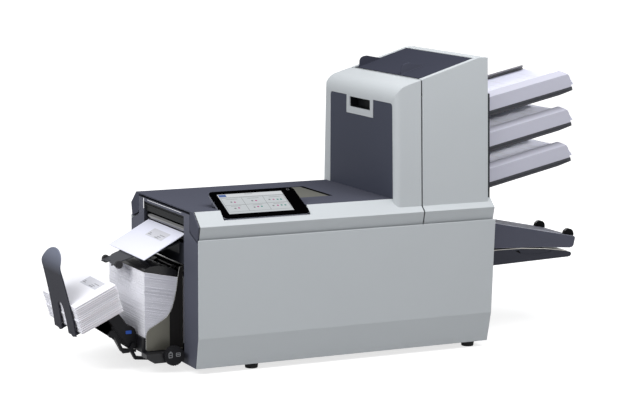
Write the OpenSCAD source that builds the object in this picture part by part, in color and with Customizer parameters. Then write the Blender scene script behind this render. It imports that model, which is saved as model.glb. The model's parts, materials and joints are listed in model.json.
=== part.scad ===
// Tabletop folder inserter: three sheet feeders, a folding tower, an envelope hopper and a catch tray
// Layout: X runs from the left end of the body, Y from the front face to the back, Z up from the table

/* [Body] */
// Length of the body between its end faces
body_l = 760; // [745:1:790]
// Depth of the body from front to back
body_d = 420; // [412:1:440]
// Height of the deck above the table
deck_z = 368; // [364:1:376]
// Height of the rubber feet
foot_h = 14; // [12:1:16]
// Radius of the rubber feet
foot_r = 16; // [13:1:19]
// Distance of the feet from the front and back faces
foot_y = 40; // [36:1:46]
// Wall of the moulded covers
cover_t = 3; // [2.5:0.5:3.5]
// Depth of the sloping edge around the deck
slope_d = 34; // [32:1:38]
// Drop of the sloping edge
slope_h = 30; // [28:1:32]
// Height of the band under the sloping edge
band_h = 31; // [29:1:33]
// Lean of the band towards its lower edge
band_in = 8; // [6:1:9]
// Height of the fold line in the front and rear covers
fold_z = 85; // [75:1:95]
// Lean of the front and rear covers under the fold line
foot_in = 14; // [12:1:16]
// Slant of the covers' right edges
cover_slant = 10; // [6:1:12]
// Gap between covers that part
seam_gap = 3.5; // [3:0.5:4.5]

/* [Tower] */
// Length of the fixed cover at the right end
right_l = 188.5; // [184:0.5:192]
// Length of the tower part that lifts with the hood
door_l = 68; // [62:1:74]
// Height of the tower above the deck
tower_h = 322; // [316:1:330]
// Distance of the tower's front from the body's front at deck level
tower_front = 14; // [12:1:16]
// Distance of the tower's back from the body's back at deck level
tower_back = 18; // [16:1:22]
// Backward lean of the tower's front
tower_lean = 0.035; // [0.02:0.005:0.05]
// Angle of the tower's sloping top
top_angle = 17; // [15:0.5:19]
// Length of the flat strip at the top's right end
flat_l = 24; // [20:1:28]
// Radius of the top left edge
edge_r = 40; // [34:1:44]
// Radius of the tower's upright left edges
corner_r = 14; // [10:1:18]

/* [Document trays] */
// Upward tilt of the trays
tray_tilt = 12.3; // [11:0.1:13]
// Spacing of the trays
tray_pitch = 87; // [84:1:90]
// Height of the lowest tray floor above the deck where it enters the tower
tray_low = 0.8; // [-1:0.1:3]
// Length of a tray along its slope
tray_l = 288; // [276:1:300]
// Thickness of a tray
tray_t = 12; // [10:0.5:13]
// Width of a sheet
sheet_w = 210; // [205:1:214]
// Length of a sheet
sheet_l = 297; // [290:1:305]
// Height of the paper in a tray
paper_h = 24; // [20:1:27]
// Height of the side guides' upright faces
guide_h = 33; // [30:1:36]
// Wall of the side guides
guide_t = 2.5; // [2:0.5:3]

/* [Display] */
// Width of the display
display_w = 212; // [206:1:218]
// Depth of the display along its tilt
display_d = 108; // [104:1:112]
// Distance of the display from the hood's left end
display_x = 68; // [62:1:74]
// Tilt of the display
display_tilt = 25; // [24:0.1:26]
// Radius of the power button
button_r = 6.5; // [5.5:0.5:7]

/* [Envelopes] */
// Width of an envelope
env_w = 229; // [225:1:233]
// Depth of an envelope
env_d = 114; // [110:1:116]
// Height of the envelopes in the hopper
stack_h = 150; // [140:1:154]
// Downward slope of the hopper floor towards the machine
hopper_tilt = 11.9; // [11:0.1:12.5]
// Height of the finished envelopes on the catch arms
done_h = 66; // [50:1:70]
// Slope of the catch arms
catch_tilt = 25; // [24:0.5:26]
// Radius of the exit rollers
exit_r = 9; // [8:0.5:9.5]
// Radius of the setting knob
knob_r = 23; // [20:1:25]

/* [Insert feeder] */
// Width of the insert tray and the flap under it
insert_w = 160; // [150:1:166]
// Downward slope of the insert tray
insert_tilt = 11.6; // [11:0.1:12.2]
// Reach of the insert tray past the body
insert_l = 306; // [296:1:316]

/* [Shafts] */
// Radius of the feed and fold shafts
shaft_r = 5; // [4.5:0.5:6]
// Radius of the fold rollers
fold_r = 16; // [14:0.5:18]
// Running clearance of a shaft in its bore
run = 0.08; // [0.05:0.01:0.1]

/* [Hidden] */
$fn = 48;
slack = 0.3;
mid = body_d / 2;
hood_l = body_l - right_l - seam_gap;
part_x = body_l - right_l;
tower_x = hood_l - door_l;
tower_r = body_l - 14;
ledge_x = body_l - 3;
tower_top = deck_z + tower_h;
flat_x = tower_r - flat_l;
edge_z = deck_z - slope_h;
band_z = edge_z - band_h;
cover_z = band_z - seam_gap;
lip_z = band_z + 1.5;
sheet_t = 2;
end_t = 26;
right_x = body_l - 18;
base_in = foot_in + cover_t + 1;
floor_z = foot_h + sheet_t;
post_y = slope_d + 18;
post_z = deck_z - 8;
gate = env_w / 2 + 9.5;
hinge_x = 10;
hinge_z = deck_z - 34;
frame_y = 60;
frame_t = 3;
frame_x = tower_r - cover_t - 3.2;
nip_z = deck_z - 58;
roll_x = 14;
pin_r = 3;
tray_x = tower_r;
roller_r = 12;
guide_y = sheet_w / 2 + 5;
feed = [for (i = [0:2]) tray_point(i, -21.5, 2.8 - roller_r)];
fold_x = body_l - 110;
fold_z1 = 262;
fold_z2 = fold_z1 - 2 * fold_r - 0.6;
env_x = 50;
env_z = 46;
hop_x = -98;
hop_z = 79;
weight_x = 6;
weight_z = deck_z - 144;
knob_x = -36;
knob_z = 40;
wheel_a = -140;
wheel_b = -4;
catch_y = mid - 20;
arm_y = 45;
catch_x = -146;
catch_z = 140.5;
bail_x = -108;
bail_z = 56;
flap_x = body_l - 5;
insert_x = body_l + insert_l;
insert_z = deck_z - 140.5;
gate_z = insert_z + tan(insert_tilt) * (insert_x - 4 - right_x) + 2.5;
flap_z = insert_z - 41.5;
display_y = 11;
display_r = 11;
display_z = surface_z(display_y) + 6;
pocket_y = 84;
button_x = display_w - 16.5;
button_y = display_d - 10;
panel_l = (flat_x - part_x) / cos(top_angle) - 13;
panel_y0 = 42;
panel_y1 = body_d - 42;
face_y = 38;
face_z = deck_z - 24;
paddle_x = -245.5;
paddle_t = 3;
origin_x = (insert_x + paddle_x - 32.5 - paddle_t) / 2;

// Height of the sloping edge and the deck above a distance from the front
function surface_z(y) = y < slope_d ? edge_z + slope_h * y / slope_d : deck_z;

// Height of the display housing's slab above a distance from the front
function under_z(y) = display_z + tan(display_tilt) * (y - display_y) - 6 / cos(display_tilt);

// Front and back of the tower, and its sloping top
function tower_y0(z) = tower_front + tower_lean * (z - deck_z);
function tower_y1(z) = body_d - tower_back - tower_lean * (z - deck_z);
function top_z(x) = tower_top - tan(top_angle) * (flat_x - x);

// Floor line of a document tray, and a point given along and above it
function tray_z(i) = deck_z + tray_low + tray_pitch * (2 - i);
function tray_point(i, a, b) = [tray_x + a * cos(tray_tilt) - b * sin(tray_tilt),
    tray_z(i) + a * sin(tray_tilt) + b * cos(tray_tilt)];

// Hopper floor line
function hop_floor(x) = hop_z - tan(hopper_tilt) * (x - hop_x);

// Outlines in [y, z] carried along X, and outlines in [x, z] carried along Y
module along_x(x0, x1) {
    translate([x0, 0, 0]) rotate([90, 0, 90]) linear_extrude(x1 - x0) children();
}

module along_y(y0, y1) {
    translate([0, y1, 0]) rotate([90, 0, 0]) linear_extrude(y1 - y0) children();
}

module block(low, high) {
    translate(low) cube(high - low);
}

module rod(x, z, y0, y1, r) {
    translate([x, y0, z]) rotate([-90, 0, 0]) cylinder(h = y1 - y0, r = r);
}

// The same piece at the front and, mirrored, at the back
module to_back() {
    translate([0, body_d, 0]) mirror([0, 1, 0]) children();
}

module both() {
    children();
    to_back() children();
}

module on_tray(i) {
    translate([tray_x, 0, tray_z(i)]) rotate([0, -tray_tilt, 0]) children();
}

module on_top() {
    translate([flat_x, 0, tower_top]) rotate([0, -top_angle, 0]) children();
}

module on_display() {
    translate([display_x, display_y, display_z]) rotate([display_tilt, 0, 0]) children();
}

module on_catch() {
    translate([catch_x, 0, catch_z]) rotate([0, -catch_tilt, 0]) children();
}

module on_insert() {
    translate([insert_x - 4, 0, insert_z]) rotate([0, insert_tilt, 0]) children();
}

module on_slide() {
    translate([3.8, mid, nip_z - 21]) rotate([0, -20.1, 0]) children();
}

module rounded(w, d, r) {
    translate([r, 0]) square([w - 2 * r, d]);
    translate([0, r]) square([w, d - 2 * r]);
    for (x = [r, w - r], y = [r, d - r]) translate([x, y]) circle(r = r);
}

// Tower outline and solid, drawn in by a wall
module tower_outline(i) {
    c = [tower_x + edge_r, top_z(tower_x + edge_r) - edge_r / cos(top_angle)];
    n = [-sin(top_angle), cos(top_angle)];
    k = i * (1 / cos(top_angle) - 1) / tan(top_angle);
    polygon([[tower_x + i, edge_z], [tower_x + i, c.y], c, c + (edge_r - i) * n,
        [flat_x + k, tower_top - i], [tower_r - i, tower_top - i], [tower_r - i, edge_z]]);
    translate(c) circle(r = edge_r - i);
}

module tower_edge(i) {
    translate([tower_x + i, tower_y0(deck_z) + i, deck_z]) rotate([-atan(tower_lean), 0, 0])
        translate([0, 0, -60]) difference() {
            translate([-5, -5, 0]) cube([corner_r - i + 5, corner_r - i + 5, tower_h + 90]);
            translate([corner_r - i, corner_r - i, -1]) cylinder(h = tower_h + 92, r = corner_r - i);
        }
}

module tower_solid(i) {
    difference() {
        intersection() {
            along_y(-10, body_d + 10) tower_outline(i);
            along_x(tower_x - 1, tower_r + 1) polygon([[tower_y0(edge_z - 1) + i, edge_z - 1],
                [tower_y0(tower_top + 1) + i, tower_top + 1], [tower_y1(tower_top + 1) - i, tower_top + 1],
                [tower_y1(edge_z - 1) - i, edge_z - 1]]);
        }
        both() tower_edge(i);
    }
}

// Cross section of the body's top, drawn in by a wall
module crown(i) {
    half = [[slope_d + 0.4 * i, deck_z - i], [1.2 * i, edge_z - 0.3 * i],
        [band_in + i, band_z - (i > 0 ? 1 : 0)]];
    polygon(concat(half, [for (k = [2, 1, 0]) [body_d - half[k].x, half[k].y]]));
}

// Base and frames
module base_tray() {
    color("dimgray") block([end_t, base_in, foot_h], [right_x, body_d - base_in, floor_z]);
}

module rubber_feet() {
    color("black") for (x = [146, body_l - 49], y = [foot_y, body_d - foot_y])
        translate([x, y, 0]) cylinder(h = foot_h, r1 = foot_r - 1.5, r2 = foot_r);
}

module side_frames() {
    color("silver") both() difference() {
        along_y(frame_y, frame_y + frame_t) polygon([[end_t + 2.5, floor_z], [frame_x, floor_z],
            [frame_x, tower_top - 70], [part_x + 9, tower_top - 90], [part_x + 9, deck_z - 38],
            [end_t + 2.5, deck_z - 38]]);
        for (p = feed) rod(p.x, p.y, frame_y - 1, frame_y + frame_t + 1, shaft_r + run);
        for (z = [fold_z1, fold_z2]) rod(fold_x, z, frame_y - 1, frame_y + frame_t + 1, shaft_r + run);
        rod(env_x, env_z, frame_y - 1, frame_y + frame_t + 1, shaft_r + run);
    }
}

// Covers
module cover_sheet() {
    difference() {
        along_x(0, body_l) polygon([[0, lip_z], [0, fold_z], [foot_in, foot_h],
            [foot_in + cover_t, foot_h], [cover_t, fold_z], [cover_t, lip_z]]);
        along_y(-1, foot_in + cover_t + 1) polygon([[body_l, lip_z + 1], [body_l + 20, lip_z + 1],
            [body_l + 20, foot_h - 1], [body_l - cover_slant, foot_h - 1]]);
    }
}

module front_cover() {
    color("lightgray") cover_sheet();
}

module rear_cover() {
    color("lightgray") difference() {
        to_back() cover_sheet();
        for (i = [0:13]) block([250 + 14 * i, body_d - cover_t - 1, 150], [255 + 14 * i, body_d + 1, 230]);
        block([body_l - 141, body_d - cover_t - 1, 100], [body_l - 113, body_d + 1, 120]);
    }
}

module mains_inlet() {
    color("black") difference() {
        union() {
            block([body_l - 141 + slack, body_d - 24, 100 + slack],
                [body_l - 113 - slack, body_d - 1, 120 - slack]);
            block([body_l - 151, body_d - cover_t - 3, 96], [body_l - 103, body_d - cover_t, 124]);
        }
        block([body_l - 138, body_d - 18, 103], [body_l - 116, body_d, 117]);
    }
}

module left_end_frame() {
    g = cover_t + 0.2;
    side = [[foot_in + g, foot_h], [g, fold_z], [g, cover_z - 4], [slope_d + 10, cover_z + 11],
        [post_y, cover_z + 16], [post_y, post_z]];
    color([0.3, 0.31, 0.35]) difference() {
        union() {
            along_x(0, end_t) difference() {
                polygon(concat(side, [for (k = [5:-1:0]) [body_d - side[k].x, side[k].y]]));
                translate([mid - gate, 24]) square([2 * gate, deck_z - 40]);
            }
            block([4, mid - gate - 1, deck_z - 130], [10, mid + gate + 1, deck_z - 80]);
        }
        for (z = [nip_z + exit_r + slack, nip_z - exit_r - slack])
            rod(roll_x, z, mid - gate - 12, mid + gate + 12, 4 + run);
        rod(weight_x, weight_z, mid - gate - 8, mid + gate + 8, pin_r);
        both() rod(hinge_x, hinge_z, post_y - 1, post_y + 28, 4);
    }
}

module right_end_cover() {
    g = cover_t + 0.2;
    side = [[foot_in + g, foot_h], [g, fold_z], [g, cover_z - 1]];
    color([0.3, 0.31, 0.35]) difference() {
        union() {
            along_x(right_x, right_x + cover_t)
                polygon(concat(side, [for (k = [2:-1:0]) [body_d - side[k].x, side[k].y]]));
            both() along_y(mid - insert_w / 2 - 8, mid - insert_w / 2 - 1) {
                translate([right_x + cover_t - 1, flap_z - 9]) square([flap_x - right_x - cover_t + 1, 18]);
                translate([flap_x, flap_z]) circle(r = 9);
            }
        }
        rod(flap_x, flap_z, 0, body_d, pin_r);
        block([right_x - 1, mid - insert_w / 2 - slack, insert_z - 10.5],
            [right_x + cover_t + 1, mid + insert_w / 2 + slack, gate_z]);
    }
}

module tower_cover() {
    color([0.8, 0.82, 0.84]) difference() {
        union() {
            intersection() {
                tower_solid(0);
                block([part_x, -1, edge_z], [tower_r + 1, body_d + 1, tower_top + 1]);
            }
            along_x(part_x, ledge_x) crown(0);
        }
        intersection() {
            tower_solid(cover_t);
            block([part_x - 1, -1, edge_z - 1], [tower_r + 1, body_d + 1, tower_top + 1]);
        }
        along_x(part_x - 1, ledge_x - cover_t) crown(cover_t);
        on_top() block([-panel_l - 6 - slack, panel_y0 - slack, -20], [-6 + slack, panel_y1 + slack, 9]);
        block([tower_r - cover_t - 2, face_y, face_z], [ledge_x + 1, body_d - face_y, tower_top - 16]);
    }
}

module tower_top_panel() {
    color([0.28, 0.29, 0.34]) on_top() {
        block([-panel_l - 6, panel_y0, -cover_t - 0.5], [-6, panel_y1, -1]);
        block([-panel_l - 10, panel_y0 - 5, -cover_t - 3], [-3, panel_y1 + 5, -cover_t]);
        for (y = [146, panel_y1 - 12]) along_y(y, y + 4) polygon([[-panel_l - 4, -2], [-panel_l + 2, 14],
            [-panel_l + 7, 19], [-panel_l + 14, 20.5], [-panel_l + 24, 19], [-panel_l + 64, -2]]);
    }
}

module feeder_panel() {
    y0 = tower_y0(deck_z) + 8;
    z1 = deck_z + 236;
    color([0.2, 0.21, 0.24]) difference() {
        union() {
            both() along_x(tower_r, tower_r + 10) polygon([[y0, surface_z(y0) + slack],
                [slope_d, deck_z + slack], [face_y + 2, deck_z + slack], [face_y + 2, z1],
                [tower_y0(z1) + 8, z1]]);
            block([tower_r - cover_t - 3, face_y - 6, face_z - 5],
                [tower_r - cover_t, body_d - face_y + 6, tower_top - 11]);
            block([tower_r - cover_t - 1, face_y + slack, face_z + slack],
                [tower_r + 5, body_d - face_y - slack, tower_top - 16 - slack]);
        }
        for (i = [0:2]) on_tray(i) block([-40, mid - guide_y - 0.8, -tray_t - 0.2],
            [40, mid + guide_y + 0.8, paper_h + 16]);
    }
}

// Document trays, paper and side guides
module document_tray(i) {
    color([0.35, 0.36, 0.38]) on_tray(i) difference() {
        union() {
            block([-1, mid - guide_y - 0.5, -tray_t], [tray_l, mid + guide_y + 0.5, 0]);
            block([-1, mid - guide_y + 37, -1], [tray_l - 6, mid + guide_y - 37, 2.9]);
        }
        both() block([8, mid - guide_y - 1, -tray_t + 4],
            [tray_l - 12, mid - guide_y + 1, -tray_t + 7]);
        both() for (x = [70, 210])
            block([x - slack, mid - guide_y + 10, -tray_t - 1], [x + 8 + slack, mid - guide_y + 31, 1]);
        along_y(0, body_d) polygon([[tray_l - 40, -tray_t - 0.1], [tray_l, -tray_t + 3],
            [tray_l + 1, -tray_t - 0.1]]);
    }
}

module document_tray_1() {
    document_tray(0);
}

module document_tray_2() {
    document_tray(1);
}

module document_tray_3() {
    document_tray(2);
}

module paper_stacks() {
    color("white") for (i = [0:2])
        on_tray(i) block([0, mid - sheet_w / 2, 3], [sheet_l, mid + sheet_w / 2, 3 + paper_h]);
}

module side_guide(i) {
    y = mid - guide_y;
    h = guide_h;
    e = tray_l - 1;
    color([0.72, 0.72, 0.76]) on_tray(i) {
        intersection() {
            along_x(18, e) polygon([[y, slack], [y, h], [y + 23, h + 9], [y + 23, h + 9 - guide_t],
                [y + guide_t, h - guide_t + 1], [y + guide_t, 2.8], [y + 33, 2.8], [y + 33, slack]]);
            along_y(0, body_d) {
                square([e - 26, h + 20]);
                square([e, h - 15]);
                translate([e - 26, h - 15]) circle(r = 26);
            }
        }
        for (x = [70, 210]) block([x, y + 24, -tray_t], [x + 8, y + 30, 1]);
    }
}

module front_guide_1() {
    side_guide(0);
}

module front_guide_2() {
    side_guide(1);
}

module front_guide_3() {
    side_guide(2);
}

module rear_guide_1() {
    to_back() side_guide(0);
}

module rear_guide_2() {
    to_back() side_guide(1);
}

module rear_guide_3() {
    to_back() side_guide(2);
}

// Insert tray, its stops and the flap under it
module insert_outline(i) {
    a = tan(insert_tilt);
    x0 = right_x - 40;
    polygon([[x0, insert_z + a * (insert_x - 4 - x0) - i], [insert_x - 4, insert_z - i],
        [insert_x - i, insert_z - 3.5], [insert_x - 4.5 - i, insert_z - 23],
        [insert_x - 8 - i, insert_z - 27], [insert_x - 16, insert_z - 28.7 - i],
        [insert_x - 100, insert_z - 21.2 - i], [insert_x - 230, insert_z - 15.2 - i],
        [x0, insert_z - 6.7 - i]]);
}

module insert_tray() {
    y0 = mid - insert_w / 2;
    color([0.3, 0.31, 0.36]) difference() {
        union() {
            along_y(y0, body_d - y0) insert_outline(0);
            block([right_x + cover_t, y0 - 10, flap_z + 11],
                [right_x + cover_t + 3, body_d - y0 + 10, cover_z - 2.5]);
        }
        difference() {
            along_y(y0 + guide_t, body_d - y0 - guide_t) insert_outline(guide_t);
            block([insert_x - 40, 0, insert_z - 40], [insert_x, body_d, insert_z - 25.7]);
        }
        on_insert() for (y = [y0 + 12, body_d - y0 - 12]) block([-112, y - 2.3, -6], [-2, y + 2.3, 5]);
    }
}

module insert_stops() {
    y0 = mid - insert_w / 2 + 12;
    color("black") on_insert() {
        for (y = [y0, body_d - y0]) {
            along_y(y - 5, y + 5) polygon([[-26, 0.2], [-24.5, 9], [-20, 14], [-13, 16], [-6, 15.2],
                [-0.5, 11.5], [2.2, 6], [3.2, 0.2]]);
            block([-22, y - 2, -8], [-4, y + 2, 1]);
        }
        block([-19, y0 - 2, -9], [-7, body_d - y0 + 2, -5]);
    }
}

module divert_flap() {
    y0 = mid - insert_w / 2;
    low = flap_z - 18;
    tip = insert_x - 15;
    color([0.26, 0.27, 0.31]) difference() {
        union() {
            along_y(y0, body_d - y0) polygon([[flap_x, flap_z + 9], [flap_x + 12, flap_z + 21],
                [tip - 140, flap_z + 20], [tip - 70, flap_z + 14.5], [tip - 8, flap_z + 4.9],
                [tip + 2, flap_z + 1.8], [tip + 4, flap_z - 2.5], [tip + 2, flap_z - 7.5],
                [tip - 4, flap_z - 9.4], [flap_x + 12, low], [flap_x, flap_z - 9]]);
            rod(flap_x, flap_z, y0, body_d - y0, 9);
        }
        along_y(y0 + cover_t, body_d - y0 - cover_t) polygon([[flap_x + 16, flap_z + 18],
            [tip - 140, flap_z + 17], [tip - 70, flap_z + 11.5], [tip - 12, flap_z + 2.5],
            [tip - 14, flap_z - 20], [flap_x + 16, low - 10]]);
        along_y(y0 - 1, y0 + 1.8) polygon([[tip - 157, flap_z + 30], [tip - 150, flap_z + 12],
            [tip - 138, flap_z + 6.5], [tip - 120, flap_z + 4], [tip - 76, flap_z + 3.5],
            [tip - 56, flap_z + 6], [tip - 48, flap_z + 30]]);
        along_y(y0 - 1, y0 + cover_t + 1) polygon([[tip - 158, flap_z + 16], [tip - 150, flap_z + 11.5],
            [tip - 139, flap_z + 6.8], [tip - 146, flap_z + 16]]);
        rod(flap_x, flap_z, 0, body_d, pin_r + run);
    }
}

// Hood
module hood_deck() {
    low = cover_z + 2.5;
    color([0.34, 0.35, 0.39]) difference() {
        union() {
            block([0, slope_d, deck_z - cover_t], [hood_l, body_d - slope_d, deck_z]);
            both() {
                along_x(0, cover_t) polygon([[slope_d + 16.6, deck_z - 1], [slope_d, deck_z], [0, edge_z],
                    [band_in - 1, low], [slope_d + 12, low + 15], [slope_d + 16.6, low + 20]]);
                along_y(slope_d + 12.6, slope_d + 16.6) {
                    translate([hinge_x, hinge_z]) circle(r = 8);
                    translate([hinge_x - 8, hinge_z]) square([16, deck_z - hinge_z - 1]);
                }
            }
        }
        both() rod(hinge_x, hinge_z, slope_d, post_y, 4 + run);
        block([hood_l - 268, mid - 72, deck_z - 10], [hood_l - 168, mid + 96, deck_z + 1]);
        block([display_x - 1, slope_d - 1, deck_z - 10], [display_x + display_w + 1, pocket_y, deck_z + 1]);
    }
}

module inspection_window() {
    color([0.4, 0.39, 0.36]) {
        block([hood_l - 268 + slack, mid - 72 + slack, deck_z - cover_t - 0.5],
            [hood_l - 168 - slack, mid + 96 - slack, deck_z - 0.6]);
        block([hood_l - 273, mid - 77, deck_z - cover_t - 2], [hood_l - 163, mid + 101, deck_z - cover_t]);
    }
}

module hood_side_rails() {
    color([0.85, 0.87, 0.9]) difference() {
        both() along_x(cover_t, hood_l) polygon([[slope_d, deck_z], [0, edge_z], [band_in, band_z],
            [band_in + cover_t, band_z], [1.2 * cover_t, edge_z - 0.3 * cover_t],
            [slope_d - 1, deck_z - 2 * cover_t], [slope_d + 12, deck_z - 2 * cover_t],
            [slope_d + 12, deck_z - cover_t], [slope_d, deck_z - cover_t]]);
        on_display() block([-1, -1, -8.4], [display_w + 1, display_d, 60]);
    }
}

module inlay_shape(g) {
    r = 9;
    z1 = deck_z + 222;
    y0 = tower_y0(z1) + corner_r;
    y1 = tower_y1(z1) - corner_r - 18;
    difference() {
        union() {
            polygon([[tower_y0(deck_z) + corner_r + g, deck_z], [y0 + g, z1 - r], [y0 + r, z1 - g],
                [y1 - r, z1 - g], [y1 - g, z1 - r], [y1 - g, deck_z]]);
            translate([y0 + r, z1 - r]) circle(r = r - g);
            translate([y1 - r, z1 - r]) circle(r = r - g);
        }
        translate([mid - 76 - g, z1 - 43 - g]) square([140 + 2 * g, 60]);
    }
}

module tower_door() {
    color([0.82, 0.84, 0.86]) difference() {
        intersection() {
            tower_solid(0);
            block([tower_x - 1, -1, edge_z], [hood_l, body_d + 1, tower_top]);
        }
        intersection() {
            tower_solid(cover_t);
            block([tower_x - 1, -1, edge_z], [hood_l + 1, body_d + 1, tower_top]);
        }
        along_x(tower_x - 1, hood_l + 1) polygon([[-10, surface_z(-10)], [slope_d, deck_z],
            [body_d - slope_d, deck_z], [body_d + 10, surface_z(-10)], [body_d + 10, 0], [-10, 0]]);
        along_x(tower_x - 1, tower_x + 1.6) inlay_shape(0);
        block([tower_x - 1, mid - 60, deck_z + 195], [tower_x + cover_t + 1, mid + 48, deck_z + 219]);
    }
}

module door_inlay() {
    color([0.24, 0.25, 0.3]) along_x(tower_x + 0.5, tower_x + 1.6) inlay_shape(0.2);
    color([0.09, 0.09, 0.1]) difference() {
        block([tower_x + cover_t, mid - 64, deck_z + 191], [tower_x + 28, mid + 52, deck_z + 223]);
        block([tower_x, mid - 60, deck_z + 195], [tower_x + 25, mid + 48, deck_z + 219]);
    }
}

// Display
module display_housing() {
    y0 = 24;
    y1 = display_y + display_d * cos(display_tilt) - 5;
    z1 = deck_z - 28;
    color([0.28, 0.31, 0.36]) difference() {
        union() {
            on_display() translate([0, 0, -8]) linear_extrude(5.4) rounded(display_w, display_d, display_r);
            along_x(display_x + 7, display_x + display_w - 7) polygon([[y0, z1], [pocket_y - 0.5, z1],
                [pocket_y - 0.5, deck_z], [y1, deck_z], [y1, under_z(y1)], [y0, under_z(y0)]]);
        }
        on_display() translate([button_x, button_y, -7]) cylinder(h = 10, r = button_r + 0.4);
    }
}

module display_glass() {
    color("black") on_display() translate([0, 0, -2.6]) difference() {
        linear_extrude(2.6) rounded(display_w, display_d, display_r);
        translate([button_x, button_y, -1]) cylinder(h = 6, r = button_r + 0.4);
    }
}

module power_button() {
    color("silver") on_display()
        translate([button_x, button_y, -5.4]) cylinder(h = 6, r = button_r);
}

// Exit
module exit_header() {
    color([0.2, 0.21, 0.23]) {
        block([4, mid - gate + slack, nip_z + 2 * exit_r + 2.5], [8, mid + gate - slack, deck_z - 16]);
        block([1.5, mid - gate + slack, deck_z - 25], [5, mid + gate - slack, deck_z - 22]);
    }
}

module exit_roller(z) {
    rod(roll_x, z, mid - gate + 2, mid + gate - 2, exit_r);
    rod(roll_x, z, mid - gate - 11, mid + gate + 11, 4);
}

module exit_roller_upper() {
    color("silver") exit_roller(nip_z + exit_r + slack);
}

module exit_roller_lower() {
    color("black") exit_roller(nip_z - exit_r - slack);
}

module exit_slide() {
    half = [[-1, 92], [-60, 92], [-94, 48], [-127, 37.5], [-147, 37.5], [-154, 34], [-154, 30],
        [-149, 24], [-148, 6], [-142, 0]];
    color([0.29, 0.3, 0.31]) difference() {
        union() {
            block([1.3, mid - 92, nip_z - 48], [3.8, mid + 92, nip_z - 21]);
            on_slide() translate([0, 0, -2.5]) linear_extrude(2.5)
                polygon(concat(half, [for (k = [8:-1:0]) [half[k].x, -half[k].y]]));
            on_slide() for (y = [-30, 30]) translate([wheel_a - 6, y - 6, -8]) cube([12, 12, 6]);
        }
        on_slide() rod(wheel_a, wheel_b, -48, 48, 2 + run);
    }
}

module exit_idler_wheels() {
    color("black") on_slide() {
        for (y = [-47, 38.5]) rod(wheel_a, wheel_b, y, y + 8.5, 9);
        rod(wheel_a, wheel_b, -47, 47, 2);
    }
}

// Envelope hopper
module hopper_base() {
    color([0.1, 0.1, 0.12]) difference() {
        union() {
            along_y(mid - 112, mid + 112) polygon([[hop_x, hop_z], [24, hop_floor(24)], [24, 24], [-60, 26],
                [hop_x, 44]]);
            along_y(mid - 144, mid - 111) polygon([[hop_x - 1, 36], [-80, 24], [-8, 24], [-8, 46],
                [hop_x - 1, 46]]);
        }
        both() for (p = [[-70, 60], [-20, 50]]) rod(p.x, p.y, mid - 113, mid - 78, 4 + run);
        rod(knob_x, knob_z, mid - 145, mid - 120, shaft_r + run);
    }
}

module setting_knob() {
    color("black") difference() {
        union() {
            rod(knob_x, knob_z, mid - 154, mid - 144.3, knob_r);
            rod(knob_x, knob_z, mid - 145, mid - 121, shaft_r);
        }
        for (a = [0:15:345]) translate([knob_x, 0, knob_z]) rotate([0, a, 0])
            rod(knob_r + 1, 0, mid - 155, mid - 143, 2);
    }
}

module hopper_guide() {
    y0 = mid - env_w / 2 - 3.5;
    color([0.36, 0.35, 0.33]) {
        along_y(y0, y0 + 1.5) polygon([[-0.4, 236], [-9, 236], [-13, 210], [-17, 182], [-22, 160.6],
            [-26, 147], [-32, 133.8], [-40, 124], [-49, 116.8], [-65, 108], [-80.6, 100], [-87, 93.5],
            [-90.4, 83.6], [-90.6, 51.4], [-88, 48], [-0.4, 47.5]]);
        for (p = [[-70, 60], [-20, 50]]) rod(p.x, p.y, y0 + 1, mid - 80, 4);
    }
}

module hopper_front_guide() {
    hopper_guide();
}

module hopper_rear_guide() {
    to_back() hopper_guide();
}

module hopper_envelopes() {
    z0 = hop_floor(-92) + 0.2;
    z1 = hop_floor(env_d - 92) + 0.2;
    color("white") along_y(mid - env_w / 2, mid + env_w / 2)
        polygon([[-92, z0], [env_d - 92, z1], [env_d - 92, z1 + stack_h], [-92, z0 + stack_h]]);
}

module envelope_weight() {
    z = hop_floor(-92) + stack_h + 0.5;
    a = tan(hopper_tilt);
    color([0.14, 0.14, 0.14]) difference() {
        union() {
            along_y(mid - 110, mid + 110) polygon([[-92, z], [-88, z + 6], [-76, z + 11], [-58, z + 12.5],
                [-40, z + 10], [-20, z + 2], [-8, z - 6], [-8, z - 84 * a]]);
            for (y = [mid - 70, mid + 50]) along_y(y, y + 20) {
                translate([weight_x, weight_z]) circle(r = 6);
                polygon([[-12, z - 80 * a + 1], [-12, z - 6], [weight_x, weight_z + 6],
                    [weight_x, weight_z - 6]]);
            }
        }
        rod(weight_x, weight_z, 0, body_d, pin_r + run);
    }
}

// Catch tray
module catch_bracket() {
    color([0.08, 0.08, 0.09]) {
        for (y = [catch_y - arm_y, catch_y + arm_y]) difference() {
            union() {
                on_catch() block([-62, y - 10, -12.3], [0, y + 10, -1]);
                along_y(y - 10, y + 10) polygon([[hop_x, 47], [hop_x, 84], [-101, 93], [-108, 99],
                    [-119, 102.5], [-134, 124], [-142, 130.5], [-164, 119], [-158, 110], [-114, 47]]);
                along_y(y - 5, y + 5) polygon([[-114, 47.5], [-106, 47.5], [-95, 27], [-62, 21.5],
                    [-62, 16], [-99, 20]]);
            }
            on_catch() block([-63, y - 6.2, -8.2], [1, y + 6.2, 2]);
            rod(bail_x, bail_z, catch_y - arm_y - 11, catch_y + arm_y + 6, 2.5 + run);
        }
        along_y(catch_y - arm_y + 10, catch_y + arm_y - 10)
            polygon([[-114, 72], [-132, 98], [-136, 95.5], [-118, 69.5]]);
    }
}

module finished_envelopes() {
    color("white") on_catch() along_y(mid - env_w / 2, mid + env_w / 2)
        polygon([[-104, 0.3], [env_d - 108, 0.3], [env_d - 99.5, done_h], [-91, done_h]]);
    color("white") translate([8, 0, nip_z - 0.4]) rotate([0, -28, 0])
        block([-env_d, mid - env_w / 2, -1.5], [0, mid + env_w / 2, 1.5]);
}

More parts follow.
